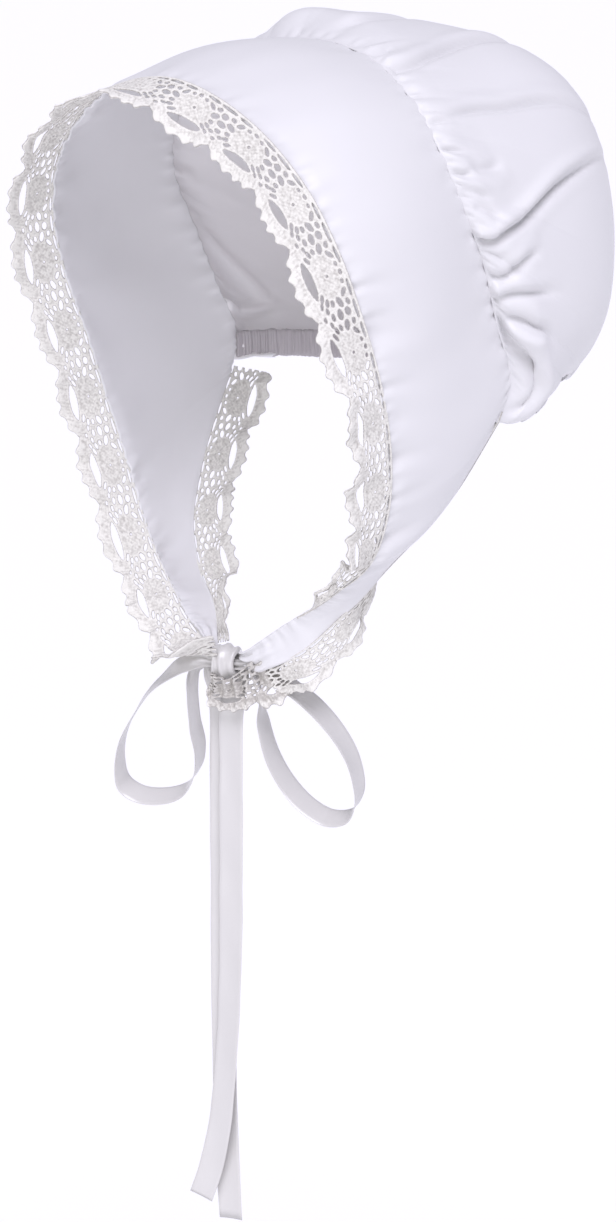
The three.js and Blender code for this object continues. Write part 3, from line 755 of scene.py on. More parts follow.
def gatherHeight(u, depth, gathers, seed):
    total = np.zeros_like(depth)
    for one in gathers:
        count = one["count"]
        draw = np.random.default_rng(one["seed"] + seed)
        edges = np.sort(np.linspace(-1, 1, count) + draw.uniform(-0.4, 0.4, count) * 2 / count)
        sizes = draw.uniform(0.35, 1.0, count)
        runs = draw.uniform(0.5, 1.3, count)
        lean = draw.uniform(-1, 1, count) * 0.25 / count
        place = np.broadcast_to(u, depth.shape) + 0
        k, t = spanOf(edges, place)
        k, t = spanOf(edges, place + lean[k] * depth / one["run"])
        ridge = np.abs(np.sin(np.pi * np.clip(t, 0, 1))) ** 0.8
        past = np.maximum(depth - one["peak"], 0)
        fade = ease(depth, 0, one["peak"]) * bell(past, 0, one["run"] * runs[k])
        total += one["height"] * sizes[k] * fade * (ridge - 0.5)
    return total


# Rows of the crown, closest beside the seam and the casing.
def crownRows(count):
    v = np.linspace(0, 1, 400)
    close = 1 + 2.4 * bell(v, 0, 0.2) + 1.4 * bell(1 - v, 0, 0.08)
    share = runningSum((close[1:] + close[:-1]) / 2)
    return np.interp(np.linspace(0, share[-1], count), share, v)


def makeCrown(settings):
    u = np.linspace(settings["rightEnd"], settings["leftEnd"], settings["columns"])[:, None]
    v = crownRows(settings["rows"])[None, :]
    aside = np.abs(u)
    middle = crownAt(u, v)
    depth = gridFlat(middle)[..., 1]
    back = depth[:, -1:] - depth
    outward = middle - np.array(puff["centre"])
    normal = softNormals(middle, outward, 4)
    lift = gatherHeight(u, depth, seamGathers, 0)
    lift += gatherHeight(u, back, seamGathers, 50) * settings["casingGathers"]
    lift *= 1 - 0.9 * ease(aside, 0.78, 0.9)
    lift *= 1 - 0.85 * ease(aside, 0.5, 0.62) * ease(v, 0.55, 0.7)
    lift += foldHeight(middle, normal, depth, crownFolds, settings)
    lift *= 1 - ease(aside, 0.95, 0.99)
    lift -= settings["sink"] * ease(depth, *settings["sinkFrom"]) * ease(back, *settings["sinkFrom"])
    lowest = lift.copy()  # the inner face keeps below every crease beside it
    for step in ((1, 0), (-1, 0), (0, 1), (0, -1)):
        lowest = np.minimum(lowest, np.roll(lift, step, (0, 1)))
    half = settings["thickness"] / 2
    inner = middle + normal * (lowest - half)[..., None]
    room = settings["room"] * ease(aside, 0.6, 0.75) * ease(v, 0.1, 0.25)
    inner -= unit(outward) * (room * (1 - ease(v, 0.9, 1)))[..., None]
    folded = middle + normal * lift[..., None]
    outer = folded + softNormals(folded, outward, 2) * half
    return wallPiece("crown_cloth", outer, inner, clothMaterial, skip=2, insideMaterial=crownInside)


crown = makeCrown(crownSettings)
print("crown made")

# The neck casing: a flat tube in fine gathers. Its ends run a little past the brim's cloth.
casingSettings = {
    "columns": 760,
    "around": 22,
    "gathers": 96,
    "depth": 0.85,
    "run": 260,  # mm over which its gathers are spread, each way
    "past": 3.3,
    "flatWide": 17,
    "flatLong": 230,
}


def makeCasing(settings):
    u = np.linspace(-1.05, 1.05, settings["columns"])[:, None]
    turn = np.linspace(0, math.tau, settings["around"], endpoint=False)[None, :]
    past = settings["past"] * np.sign(u) * ease(np.abs(u), 0.88, 1.05)
    centre = casingAt(u[:, 0])[:, None, :] + [1, 0, 0] * past[..., None]
    outward = casingOutward(u[:, 0])[:, None, :]
    up = np.array([0, 0, 1.0])
    run = settings["run"]
    high = casingLine["height"] / 2 * (1 + 0.05 * waves(run * u, 0 * turn, 44, 5, 30, 9))
    thick = casingLine["thickness"] / 2 * (1 + 0.1 * waves(run * u, 0 * turn, 45, 5, 20, 6))
    place, lean = run * u + 1.1 * np.sin(turn), np.sin(turn)
    ripple = np.zeros(place.shape)
    for seed, count, size in ((60, settings["gathers"], 1.0), (61, settings["gathers"] // 3, 0.7)):
        draw = np.random.default_rng(seed)
        edges = np.linspace(-run - 2, run + 2, count) + draw.uniform(-0.9, 0.9, count)
        sizes, slant = draw.uniform(0.4, 1, count), draw.uniform(-1.4, 1.4, count)
        k, t = spanOf(edges, place)
        k, t = spanOf(edges, place + slant[k] * lean)
        ripple += size * settings["depth"] * sizes[k] * (np.sin(np.pi * np.clip(t, 0, 1)) ** 0.7 - 0.6)
    side, rise = np.cos(turn), np.sin(turn)
    flatSide = np.sign(side) * np.abs(side) ** 0.45
    flatRise = np.sign(rise) * np.abs(rise) ** 0.8
    point = centre + outward * (flatSide * (thick + ripple))[..., None]
    point = point + up * (flatRise * (high + 0.4 * ripple))[..., None]
    n, m = point.shape[:2]
    faces = gridFaces(n, m, rings=(False, True), flip=True)
    faces += [list(range(m))[::-1], [(n - 1) * m + k for k in range(m)]]
    flat = np.stack(np.broadcast_arrays(place, 20 * turn / math.tau), -1)
    return closedPiece("neck_casing_cloth", point, faces, casingMaterial, flat)


casing = makeCasing(casingSettings)
print("neck casing made")

# The lace.
laceWidth = 25
# The lace's turn from the line of the brim, in degrees (towards the face is positive), and the
# part of its width that shows. A row per section, the first at the top of the head.
laceColumns = ("leftTurn", "leftReach", "rightTurn", "rightReach")
frontLace = [
    (10, 1, 10, 1),
    (50, 1, -5, 1),
    (58, 1, -14, 1),
    (45, 1, -12, 1),
    (42, 1, -28, 1),
    (18, 1, -34, 1),
    (0, 1, -28, 1),
    (0, 1, -27, 1),
    (5, 1, -28, 1),
    (0, 0.85, -32, 1),
    (80, 0.3, -40, 1),
    (110, 0.26, -40, 1),
    (150, 0.26, -33, 1.04),
    (155, 0.26, -32, 1.14),
]
rearLace = [
    (60, 1, 38, 1),
    (62, 1, 42, 1),
    (50, 0.8, 40, 0.95),
    (12, 0.75, 45, 0.8),
    (8, 0.75, 60, 0.4),
    (8, 0.7, 60, 0.3),
]


def readTable(table, column, at):
    values = pick(laceColumns, table, column)[:, 0]
    at = np.clip(at, 0, len(values) - 1)
    k = np.minimum(at.astype(int), len(values) - 2)
    t = ease(at - k, 0, 1) * 0.6 + (at - k) * 0.4
    return values[k] * (1 - t) + values[k + 1] * t


# One point of a lace that leaves the brim's edge at section s; out is 0 at its foot and 1 at its
# outer edge.
def laceAt(s, out, rear, turn, reach):
    edgeAt = rearAt if rear else frontAt
    tangent = unit(edgeAt(s + 0.05) - edgeAt(s - 0.05))
    ahead = edgeAt(s) - brimAt(s, 0.5)
    ahead = unit(ahead - tangent * (ahead * tangent).sum(-1, keepdims=True))
    inward = unit(np.cross(tangent, ahead)) * (-1 if rear else 1)
    angle = np.radians(turn)[..., None]
    way = ahead * np.cos(angle) + inward * np.sin(angle)
    foot = edgeAt(s) + ahead * 0.3
    return foot + way * (out * laceWidth * reach)[..., None]


# One repeat of the edging, flat, in millimetres: x along it from one dip of the scallops to the
# next, y from the foot to the scalloped edge.
motif = {
    "repeat": 34,
    "cell": 0.5,
    "thick": 0.72,
    "round": 0.62,
    "foot": -1.3,
    "scallop": 4.2,
    "knobs": (5.6, 13.2, 20.8, 28.4),
    "knobHeight": 1.8,
    "knobWidth": 2.0,
    "cord": 2.27,
}
rosette = {"x": 17, "y": 8.3, "wide": 9.2, "high": 5.0}
# The holes between its threads. Turn is in degrees; point is 1 for an oval and more for a leaf.
holeColumns = ("x", "y", "long", "wide", "turn", "point")
laceHoles = [
    (16.6, 16.4, 17.5, 3.9, -3, 1.5),
    (25.4, 13.9, 4.0, 1.3, 20, 1.1),
    (27.7, 12.3, 3.4, 1.4, 14, 1.1),
    (28.6, 10.1, 2.8, 1.5, 6, 1.0),
    (28.4, 15.2, 2.8, 1.1, 16, 1.1),
    (31.0, 13.4, 3.0, 1.2, 4, 1.1),
    (8.0, 14.1, 3.8, 1.3, -24, 1.1),
    (5.7, 12.5, 3.2, 1.4, -14, 1.1),
    (5.2, 10.2, 2.6, 1.5, -6, 1.0),
    (3.0, 13.6, 2.8, 1.1, -6, 1.1),
    (0.0, 15.6, 2.2, 1.1, 0, 1.0),
    (0.2, 11.7, 3.4, 1.5, 0, 1.1),
    (0.0, 8.3, 4.8, 2.3, 3, 1.1),
    (-0.3, 4.5, 3.6, 2.5, -3, 1.0),
    (0.0, 0.6, 9.0, 1.1, 0, 1.2),
    (5.0, 6.9, 4.6, 2.2, 16, 1.1),
    (28.9, 6.7, 4.8, 2.2, -17, 1.1),
    (4.4, 3.3, 2.7, 1.6, 8, 1.0),
    (29.7, 3.1, 2.7, 1.6, -8, 1.0),
    (8.7, 3.6, 4.0, 1.7, -32, 1.1),
    (25.3, 3.6, 4.0, 1.7, 32, 1.1),
    (9.6, 0.5, 7.4, 1.0, -2, 1.2),
    (24.6, 0.5, 7.8, 1.0, 2, 1.2),
    (13.2, 2.6, 2.0, 1.2, -10, 1.0),
    (17.0, 1.9, 2.2, 1.2, 0, 1.0),
    (20.8, 2.6, 2.0, 1.2, 10, 1.0),
    (17.0, 8.3, 1.2, 1.1, 0, 1.0),
]


def knobGap(x):  # how far x is from each of the border's knobs
    repeat = motif["repeat"]
    return (x[..., None] - np.array(motif["knobs"]) + repeat / 2) % repeat - repeat / 2


def laceEdge(x):
    dip = 1 - np.abs(np.sin(np.pi * x / motif["repeat"])) ** 0.8
    knob = np.exp(-np.abs(knobGap(x) / motif["knobWidth"]) ** 2.6).sum(-1)
    return laceWidth - 1.5 - motif["scallop"] * dip + motif["knobHeight"] * knob


# Signed distance to the nearest thread edge: above 0 in the cotton, below 0 in a hole.
def laceField(x, y):
    repeat = motif["repeat"]
    inside = (y < laceEdge(x)) & (y > motif["foot"])
    edgeX = np.arange(-4, repeat + 4, 0.15)
    lines = [np.stack([edgeX, laceEdge(edgeX)], -1), np.stack([edgeX, 0 * edgeX + motif["foot"]], -1)]
    a = np.linspace(0, math.tau, 73)[:-1]
    for row in rows(holeColumns, laceHoles):
        turn = math.radians(row["turn"])
        c, s = math.cos(turn), math.sin(turn)
        half, side = row["long"] / 2, row["wide"] / 2
        for shift in (-repeat, 0, repeat):
            dx, dy = x - row["x"] - shift, y - row["y"]
            u, v = dx * c + dy * s, dy * c - dx * s
            width = side * np.clip(1 - (u / half) ** 2, 0, None) ** (row["point"] / 2)
            inside &= ~((np.abs(u) < half) & (np.abs(v) < width))
            u, v = half * np.cos(a), side * np.sign(np.sin(a)) * np.abs(np.sin(a)) ** row["point"]
            line = np.stack([row["x"] + shift + u * c - v * s, row["y"] + u * s + v * c], -1)
            lines.append(line[(line[:, 0] > -4) & (line[:, 0] < repeat + 4)])
    edges = np.vstack(lines)
    parts = np.array_split(np.stack([x.ravel(), y.ravel()], -1), 16)
    nearest = np.concatenate([np.sqrt(((part[:, None] - edges[None]) ** 2).sum(-1)).min(1) for part in parts])
    return np.where(inside, 1, -1) * nearest.reshape(x.shape)


# Half the lace's thickness: round threads beside each hole, corded ridges along the border, rings
# of cloth stitch in the rosette.
def laceRelief(x, y, field):
    step = np.clip(field / motif["round"], 0, 1)
    fromEdge = laceEdge(x) - y
    border = 1 - ease(fromEdge, 4.0, 6.0)
    lobe = bell(knobGap(x), 0, 2.1).sum(-1) * (1 - ease(fromEdge, 2.5, 4.5))
    cords = np.cos(math.tau * (x + 0.55 * fromEdge) / motif["cord"])
    right, up = (x - rosette["x"]) / rosette["wide"], (y - rosette["y"]) / rosette["high"]
    ring, spoke = np.hypot(right, up), np.arctan2(up, right)
    stitch = 0.5 * np.cos(math.tau * x / 2.1) * np.cos(math.tau * y / 1.9)
    stitch = stitch + 0.4 * np.cos(13 * spoke) * ring + 0.3 * np.cos(math.tau * ring * 1.6)
    inRosette = 1 - ease(ring, 0.9, 1.1)
    fill = 0.5 + 0.26 * bell(field, 0.55, 0.4) + border * (0.55 * lobe + 0.14 * cords)
    fill = fill + 0.3 * stitch * inRosette
    return motif["thick"] * np.sqrt(1 - (1 - step) ** 2) * fill


# The mesh of one repeat: a fine net of cells cut along the edges of its threads. Both faces meet
# in the edges, and its two ends are left open for the next repeat.
def laceMotif():
    cell, repeat = motif["cell"], motif["repeat"]
    x = np.linspace(0, repeat, round(repeat / cell) + 1)
    y = np.arange(motif["foot"] - cell * 0.6, laceWidth + 1.2, cell)
    gx, gy = np.meshgrid(x, y, indexing="ij")
    field = laceField(gx, gy)
    lift = laceRelief(gx, gy, field)
    points, raised, known = [], [], {}

    def place(key, spot, high):
        if key not in known:
            known[key] = len(points)
            points.append(spot)
            raised.append(high)
        return known[key]

    def corner(i, j, side):
        return place((i, j, side), (x[i], y[j], side * lift[i, j]), lift[i, j] / motif["thick"])

    def crossing(one, two):
        low, high = min(one, two), max(one, two)
        t = field[low] / (field[low] - field[high])
        (i, j), (k, m) = low, high
        return place((low, high), (x[i] + t * (x[k] - x[i]), y[j] + t * (y[m] - y[j]), 0.0), 0.0)

    faces = []
    for i in range(len(x) - 1):
        for j in range(len(y) - 1):
            around = [(i, j), (i + 1, j), (i + 1, j + 1), (i, j + 1)]
            if max(field[spot] for spot in around) <= 0:
                continue
            for side in (1, -1):
                face = []
                for spot, after in zip(around, around[1:] + around[:1]):
                    if field[spot] > 0:
                        face.append(corner(*spot, side))
                    if (field[spot] > 0) != (field[after] > 0):
                        face.append(crossing(spot, after))
                faces.append(face[::side])
    piece = newMesh("laceMotif", points, faces)
    # raised, the thread's height, also sets the lace's painted shade at low thread edges
    piece.data.attributes.new("raised", "FLOAT", "POINT").data.foreach_set("value", raised)
    return piece


# Repeats the motif along a strip and lays it on the lace's surface by its map.
def laceTree():
    tree = bpy.data.node_groups.new("laceBand", "GeometryNodeTree")
    sockets = {
        "Geometry": "Geometry",
        "Motif": "Object",
        "Repeats": "Int",
        "Repeat length": "Float",
        "Width below foot": "Float",
        "Mapped width": "Float",
        "Join within": "Float",
        "Material": "Material",
    }
    for name, kind in sockets.items():
        tree.interface.new_socket(name, in_out="INPUT", socket_type="NodeSocket" + kind)
    tree.interface.new_socket("Geometry", in_out="OUTPUT", socket_type="NodeSocketGeometry")
    given = addNode(tree, "NodeGroupInput")
    repeats, length, foot = given["Repeats"], given["Repeat length"], given["Width below foot"]
    motifIn = addNode(tree, "GeometryNodeObjectInfo", {}, {"Object": given["Motif"]})["Geometry"]
    step = addNode(tree, "ShaderNodeCombineXYZ", {}, {"X": length})[0]
    line = {"Count": repeats, "Offset": step}
    row = addNode(tree, "GeometryNodeMeshLine", {"mode": "OFFSET"}, line)[0]
    band = addNode(tree, "GeometryNodeInstanceOnPoints", {}, {"Points": row, "Instance": motifIn})[0]
    band = addNode(tree, "GeometryNodeRealizeInstances", {}, {"Geometry": band})[0]
    joined = {"Geometry": band, "Distance": given["Join within"]}
    band = addNode(tree, "GeometryNodeMergeByDistance", {}, joined)[0]

    # where each point of the flat band lies on the map: along it, and across it
    where = addNode(tree, "GeometryNodeInputPosition")[0]
    at = addNode(tree, "ShaderNodeSeparateXYZ", {}, {0: where})
    long = addNode(tree, "ShaderNodeMath", {"operation": "MULTIPLY"}, {0: repeats, 1: length})[0]
    both = addNode(tree, "ShaderNodeMath", {"operation": "MULTIPLY", 1: 2.0}, {0: foot})[0]
    whole = addNode(tree, "ShaderNodeMath", {"operation": "ADD"}, {0: long, 1: both})[0]
    shares = {}
    for way, size in (("X", whole), ("Y", given["Mapped width"])):
        moved = addNode(tree, "ShaderNodeMath", {"operation": "ADD"}, {0: at[way], 1: foot})[0]
        shares[way] = addNode(tree, "ShaderNodeMath", {"operation": "DIVIDE"}, {0: moved, 1: size})[0]
    place = addNode(tree, "ShaderNodeCombineXYZ", {}, shares)[0]
    kind = {"data_type": "FLOAT_VECTOR"}
    laceMap, outward = (
        addNode(tree, "GeometryNodeInputNamedAttribute", {**kind, "Name": name})[0]
        for name in ("laceMap", "outward")
    )
    surface = {"Mesh": given["Geometry"], "Source UV Map": laceMap, "Sample UV": place}
    spot, out = (
        addNode(tree, "GeometryNodeSampleUVSurface", kind, {**surface, "Value": value})["Value"]
        for value in (where, outward)
    )
    metres = addNode(tree, "ShaderNodeMath", {"operation": "MULTIPLY", 1: mm}, {0: at["Z"]})[0]
    lift = addNode(tree, "ShaderNodeVectorMath", {"operation": "SCALE"}, {0: out, "Scale": metres})[0]
    laid = addNode(tree, "ShaderNodeVectorMath", {"operation": "ADD"}, {0: spot, 1: lift})[0]
    band = addNode(tree, "GeometryNodeSetPosition", {}, {"Geometry": band, "Position": laid})[0]
    painted = {"Geometry": band, "Material": given["Material"]}
    band = addNode(tree, "GeometryNodeSetMaterial", {}, painted)[0]
    band = addNode(tree, "GeometryNodeSetShadeSmooth", {}, {"Geometry": band})[0]
    addNode(tree, "NodeGroupOutput", {}, {"Geometry": band})
    return tree


# The bow stands in a plane of its own: out to the wearer's left, up, and fore.
bow = {"centre": (-1, -60, -301), "turn": 23, "tilt": 26}
bowTurn, bowTilt = math.radians(bow["turn"]), math.radians(bow["tilt"])
bowOut = np.array([math.cos(bowTurn), math.sin(bowTurn), 0])
bowUp = np.array([0, 0, 1.0])
bowFore = np.cross(bowOut, bowUp)
bowEdge = bowFore * math.cos(bowTilt) - bowUp * math.sin(bowTilt)


def bowPoint(out, up, fore):
    parts = [np.asarray(a, float)[..., None] * b for a, b in ((out, bowOut), (up, bowUp), (fore, bowFore))]
    return np.array(bow["centre"], float) + sum(parts)


below, mappedWidth = 2.0, 30.0  # mm of the lace's map under its foot, and in all
laceRows = np.linspace(-below, mappedWidth - below, 17)


def evenPlaces(line, low, high, repeats, room):  # even steps along a line, and a little past its ends
    dense = np.linspace(low - room, high + room, 1200)
    walk = runningSum(lengthOf(np.diff(line(dense), axis=0)))
    start, end = np.interp([low, high], dense, walk)
    over = below * (end - start) / (repeats * motif["repeat"]) if room else 0
    return np.interp(np.linspace(start - over, end + over, 14 * repeats + 1), walk, dense)


ruffles = ((1.3, 1.07, 1.3), (1.1, 0.43, 0), (0.5, 2.31, 0))  # height in mm, waves a section, phase


def edgingGrid(low, high, repeats, rear):
    s = evenPlaces(rearAt if rear else frontAt, low, high, repeats, 0.3)[:, None]
    table, at = (rearLace, np.abs(s) - seamEnd) if rear else (frontLace, np.abs(s))
    turn, reach = (
        np.where(s > 0, readTable(table, "left" + one, at), readTable(table, "right" + one, at))
        for one in ("Turn", "Reach")
    )
    s, y = np.broadcast_arrays(s, laceRows[None, :])
    grid = laceAt(s, y / laceWidth, rear, turn + 0 * y, reach + 0 * y)
    ruffle = sum(high * np.sin(math.tau * s * rate + phase) for high, rate, phase in ruffles)
    ruffle = ruffle * (1 + 0.8 * ease(np.abs(s), 5, 8)) * (np.clip(y, 0, None) / laceWidth) ** 1.3
    return grid + gridNormals(grid) * ruffle[..., None]


def closeEnds(work):
    ends = bmesh.ops.holes_fill(work, edges=[edge for edge in work.edges if edge.is_boundary], sides=0)
    bmesh.ops.triangulate(work, faces=ends["faces"])


def makeLace(name, grid, repeats, tree, motifPiece):
    n, m = grid.shape[:2]
    piece = newMesh(name, grid.reshape(-1, 3) * mm, gridFaces(n, m))
    mesh = piece.data
    along, across = np.meshgrid(np.linspace(0, 1, n), (laceRows + below) / mappedWidth, indexing="ij")
    flatMap(piece, np.stack([along, across], -1).reshape(-1, 2), "laceMap")
    outward = mesh.attributes.new("outward", "FLOAT_VECTOR", "POINT")
    outward.data.foreach_set("vector", gridNormals(grid).reshape(-1))
    modifier = piece.modifiers.new("laceBand", "NODES")
    modifier.node_group = tree
    values = {
        "Motif": motifPiece,
        "Repeats": repeats,
        "Repeat length": float(motif["repeat"]),
        "Width below foot": below,
        "Mapped width": mappedWidth,
        "Join within": 0.01,
        "Material": laceMaterial,
    }
    for item in tree.interface.items_tree:
        if item.in_out == "INPUT" and item.name in values:
            modifier[item.identifier] = values[item.name]
    bpy.context.view_layer.update()
    finished = piece.evaluated_get(bpy.context.evaluated_depsgraph_get())
    made = bpy.data.meshes.new_from_object(finished)
    piece.modifiers.remove(modifier)
    piece.data = made
    bpy.data.meshes.remove(mesh)
    rework(made, closeEnds)
    fixFaces(piece)
    return piece


# The left front lace's end, bunched under the knot and rolled up beside it: its foot and its outer edge, in
# the bow's own plane. It lies in two layers in the knot's shadow, and the shade lowers its tone as painted
# shade.
bunchColumns = ("footOut", "footUp", "footFore", "edgeOut", "edgeUp", "edgeFore")
bunchRows = [
    (-6, -5, 6, -9, -13.5, 8.5),
    (-2.5, -6, 8.5, -7, -22, 9),
    (4.5, -7, 9.5, 4, -23, 10),
    (12, -2, 9.5, 15, -22.5, 10),
    (18, 3, 8.5, 27, -20.5, 8.5),
    (23, 5.5, 4, 35.5, -13.5, 4),
    (24, 5, -1, 33, -1, -1),
    (20, 3, -4, 27, 5, -4),
]
# shade is painted shade: how far the bunched end's raised values are lowered
bunchFolds = {"count": 21, "height": 1.7, "belly": 2.5, "repeats": 2, "shade": 0.4}


def bunchGrid(settings):
    sides = ("footOut footUp footFore", "edgeOut edgeUp edgeFore")
    foot, outer = (curveThrough(bowPoint(*pick(bunchColumns, bunchRows, names).T)) for names in sides)
    end = len(bunchRows) - 1
    p = evenPlaces(lambda at: (foot(at) + outer(at)) / 2, 0, end, settings["repeats"] * 2, 0)
    share = laceRows[None, :] / laceWidth
    grid = foot(p)[:, None] * (1 - share[..., None]) + outer(p)[:, None] * share[..., None]
    fold = np.sin(np.pi * settings["count"] * p / end + 0.7 * np.sin(2.1 * p))[:, None]
    fold = fold * settings["height"] * (1.1 - 0.55 * laceRows[None, :] / laceWidth)
    fold = fold + settings["belly"] * np.sin(np.pi * np.clip(share, 0, 1))
    return grid + gridNormals(grid) * fold[..., None]


tree, motifPiece = laceTree(), laceMotif()
laceJoin = 0.33  # the section where the front lace's two halves meet
# Name, sections from and to, repeats of the motif, rear edge or front, CAD node.
laceParts = (
    ("lace_front_left_threads", laceJoin, last - 1.4, 9, False, "lace_front"),
    ("lace_front_right_threads", -last - 0.9, laceJoin, 11, False, "lace_front"),
    ("lace_rear_left_threads", seamEnd - 0.25, last, 5, True, "lace_rear_left"),
    ("lace_rear_right_threads", -last, -seamEnd + 0.25, 5, True, "lace_rear_right"),
)
laces = []
for name, low, high, repeats, rear, node in laceParts:
    laces.append((makeLace(name, edgingGrid(low, high, repeats, rear), repeats, tree, motifPiece), node))
bunched = makeLace("bunchedEnd", bunchGrid(bunchFolds), bunchFolds["repeats"], tree, motifPiece)
# painted shade: lowering raised darkens the bunched end towards the lace's shade colour
raised = bunched.data.attributes["raised"].data
height = np.zeros(len(raised))
raised.foreach_get("value", height)
raised.foreach_set("value", height - bunchFolds["shade"])
rework(laces[0][0].data, lambda work: work.from_mesh(bunched.data))  # one piece from two
bpy.data.objects.remove(bunched)
bpy.data.objects.remove(motifPiece)

# The ribbons.
ribbonSettings = {
    "width": 12.7,
    "steps": 9,
    "across": 9,
    "thickness": 0.36,
    "cup": 0.5,
    "crush": 1.6,
    "wave": 0.35,
    "waveLengths": (60, 16),
}
routeColumns = ("out", "up", "fore", "wide", "edge")
# The routes of the two ties, in the bow's own plane: out is to the wearer's left. Wide is the
# width, narrow where the knot crushes it; edge is 0 where the face looks forward, 1 where its edge does.
tieLeftRoute = [
    (18.4, 3.6, 6.8, 8, 0),
    (12, 1.2, 5, 5, 0),
    (7, 0, 3.7, 4.4, 0),
    (-7, 0, 3.7, 4.4, 0),
    (-12, 0, 4.2, 6, 0.2),
    (-22, -3, 5, 11, 0.7),
    (-36, -14, 5, 12.7, 1),
    (-47, -28, 5, 12.7, 1),
    (-55, -44, 5, 12.7, 1),
    (-58, -59, 4, 12.7, 1),
    (-56, -69, 3, 12.7, 1),
    (-48, -74, 2, 12.7, 1),
    (-36, -74, 1, 12.7, 1),
    (-24, -69, 0, 12.7, 1),
    (-17, -59, 0, 12.7, 1),
    (-15.5, -47, 0, 12.7, 1),
    (-18, -33, 0, 12.7, 1),
    (-19, -18, 1, 11, 0.9),
    (-17, -6, 2, 7, 0.6),
    (-12, -0.6, 1.6, 5, 0.1),
    (-7, 0, 1.3, 4.4, 0),
    (6, 0, 1.3, 4.4, 0),
    (10.5, -4, 1.8, 5, 0),
    (9, -10, 2.4, 8, 0),
    (5.6, -16, 2.6, 11, 0),
    (3.8, -24, 2.6, 12.7, 0),
    (3.4, -60, 2.6, 12.7, 0),
    (3, -110, 2.4, 12.7, 0.05),
    (2, -160, 2.2, 12.7, 0.1),
    (0, -205, 2.4, 12.7, 0.15),
    (-4, -248, 3.4, 12.7, 0.1),
    (-9, -272, 4.4, 12.7, 0),
    (-14, -288, 5.4, 12.7, 0),
]
tieRightRoute = [
    (-12, 6, -8.2, 6, 0),
    (-9.6, 2.4, -5.4, 5, 0),
    (-6.5, 0, -3.7, 4.4, 0),
    (7, 0, -3.7, 4.4, 0),
    (13, -4, -4.4, 6, 0.2),
    (16, -16, -5.5, 10, 0.7),
    (18, -31, -5.5, 12.7, 1),
    (23, -48, -5, 12.7, 1),
    (31, -61, -5, 12.7, 1),
    (42, -70.5, -4, 12.7, 1),
    (54, -75.5, -4, 12.7, 1),
    (64.5, -73, -4, 12.7, 1),
    (69.5, -63, -4, 12.7, 1),
    (67, -47, -4, 12.7, 1),
    (59, -32.5, -4, 12.7, 1),
    (47, -20, -4, 12.7, 1),
    (34, -11, -3, 11, 0.9),
    (22, -4, -2, 7, 0.6),
    (13, -0.4, -1.6, 5, 0.1),
    (7, 0, -1.3, 4.4, 0),
    (-6, 0, -1.3, 4.4, 0),
    (-10.5, -4, -1.8, 5, 0),
    (-8.6, -10, -1.6, 8, 0),
    (-5, -16, -1.2, 11, 0),
    (-3.6, -24, -1, 12.7, 0),
    (-3.4, -60, -1, 12.7, 0),
    (-3.4, -110, -1, 12.7, -0.05),
    (-3.6, -160, -1.4, 12.7, -0.1),
    (-3.4, -205, -1.6, 12.7, -0.1),
    (-2.4, -255, -1.6, 12.7, -0.05),
    (0, -301, -1, 12.7, 0),
]


def makeRibbon(name, route, settings, seed):
    end = len(route) - 1
    t = np.linspace(0, end, end * settings["steps"] + 1)
    k = np.minimum(t.astype(int), end - 1)
    mix = ease(t - k, 0, 1)
    wide, edge = (a[k] * (1 - mix) + a[k + 1] * mix for a in pick(routeColumns, route, "wide edge").T)
    point = curveThrough(bowPoint(*pick(routeColumns, route, "out up fore").T))(t)
    tangent = unit(np.gradient(point, axis=0))
    flat = unit(np.cross(bowFore, tangent))
    across = flat * (1 - np.abs(edge))[:, None] + bowEdge * edge[:, None]
    across = unit(across - tangent * (across * tangent).sum(-1, keepdims=True))
    v = np.linspace(-0.5, 0.5, settings["across"])[None, :]
    middle = point[:, None] + across[:, None] * (v * wide[:, None])[..., None]
    normal = np.cross(tangent, across)[:, None]
    length = runningSum(lengthOf(np.diff(point, axis=0)))
    crush = np.clip(1 - wide / settings["width"], 0, 1)[:, None]
    fold = crush * settings["crush"] * np.cos(math.tau * v * 1.5 + 0.6) + settings["cup"] * (v**2 * 4 - 0.3)
    fold = fold + settings["wave"] * waves(length[:, None], 12 * v, seed, 5, *settings["waveLengths"])
    middle = middle + normal * fold[..., None]
    half = gridNormals(middle) * (settings["thickness"] / 2)
    return wallPiece(name, middle + half, middle - half, satinMaterial), length[-1] * mm


tieLeft, leftLength = makeRibbon("tie_left_ribbon", tieLeftRoute, ribbonSettings, 71)
tieRight, rightLength = makeRibbon("tie_right_ribbon", tieRightRoute, ribbonSettings, 72)

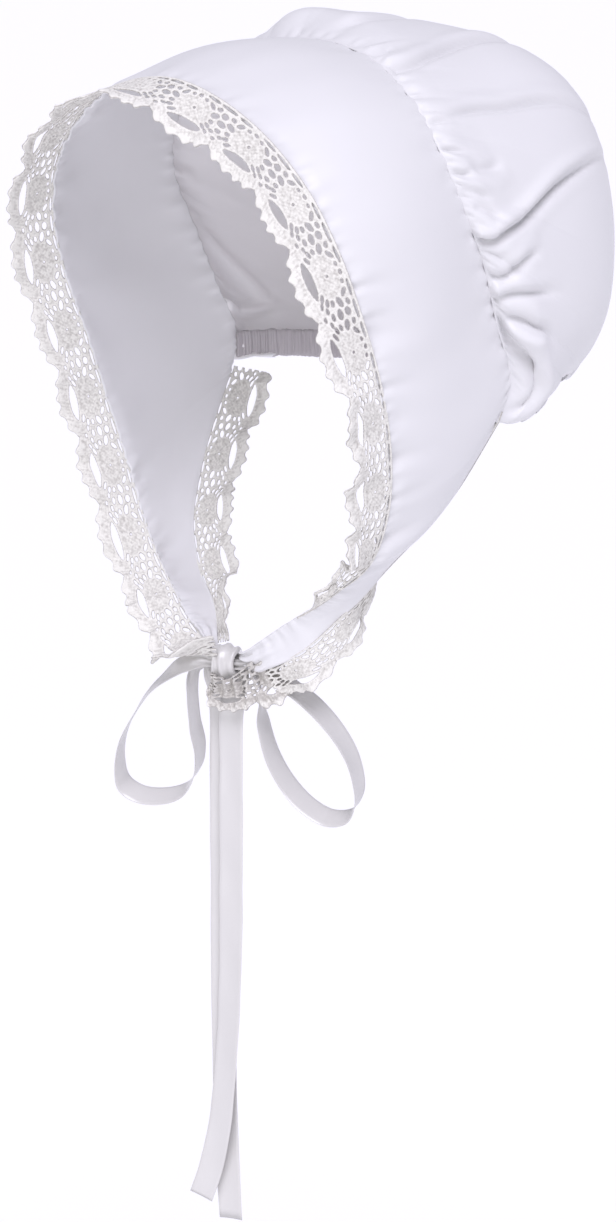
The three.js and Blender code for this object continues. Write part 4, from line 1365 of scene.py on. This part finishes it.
knotSettings = {
    "length": 13,
    "outUp": 8.6,
    "outFore": 8.2,
    "holeUp": 4.2,
    "holeFore": 5.0,
    "around": 96,
    "along": 64,
    "fold": 0.7,
    "crease": 0.35,
    "flatLong": 54,
}


def makeKnot(settings):
    turn = np.linspace(0, math.tau, settings["around"], endpoint=False)[:, None]
    roll = np.linspace(0, math.tau, settings["along"], endpoint=False)[None, :]
    c, s = (np.sign(a) * np.abs(a) ** 0.75 for a in (np.cos(roll), np.sin(roll)))
    folds = settings["fold"] * np.sin(3.0 * s * 2 + 0.8 + 1.6 * np.sin(turn + 0.6))
    folds = (folds + settings["crease"] * np.sin(9 * s - 2 * turn)) * np.clip(c, 0, 1)
    mid = 0.5 + 0.5 * c
    sides = ((settings["hole" + a], settings["out" + a]) for a in ("Up", "Fore"))
    up, fore = (hole + (outer - hole) * mid + folds for hole, outer in sides)
    out = settings["length"] / 2 * s * (1 + 0.1 * np.cos(turn * 2 + 0.5)) + 0.8 * np.sin(turn)
    point = bowPoint(out + 0 * turn, up * np.cos(turn), fore * np.sin(turn))
    faces = gridFaces(*point.shape[:2], rings=(True, True), flip=True)
    flat = np.stack(np.broadcast_arrays(turn * 8, roll * 4), -1)
    return closedPiece("bow_knot_ribbon", point, faces, satinMaterial, flat)


knot = makeKnot(knotSettings)
print("ribbons made")

# What each piece rides on and the CAD part it stands for, which is hidden; the table also gives a slot name.
for piece, node, slotName in (
    (brim, "brim", "cotton_cloth"),
    (crown, "crown", "cotton_cloth"),
    (casing, "neck_casing", "cotton_cloth"),
    *((piece, node, "cotton_lace") for piece, node in laces),
    (tieLeft, "tie_left", "satin_ribbon"),
    (tieRight, "tie_right", "satin_ribbon"),
    (knot, "bow_knot", "satin_ribbon"),
):
    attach(piece, "root")
    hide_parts(node)

# The size each cloth is cut to, as it lies flat.
for piece, held, restsOn in ((brim, "hung", "crown_cloth"), (crown, "gathered", "brim_cloth")):
    wide, long, area = flatSizes[piece.name]
    area = min(area, wide * long) * mm * mm
for (piece, node), part in zip(laces, laceParts):
    repeats = part[3] + (bunchFolds["repeats"] if piece is laces[0][0] else 0)
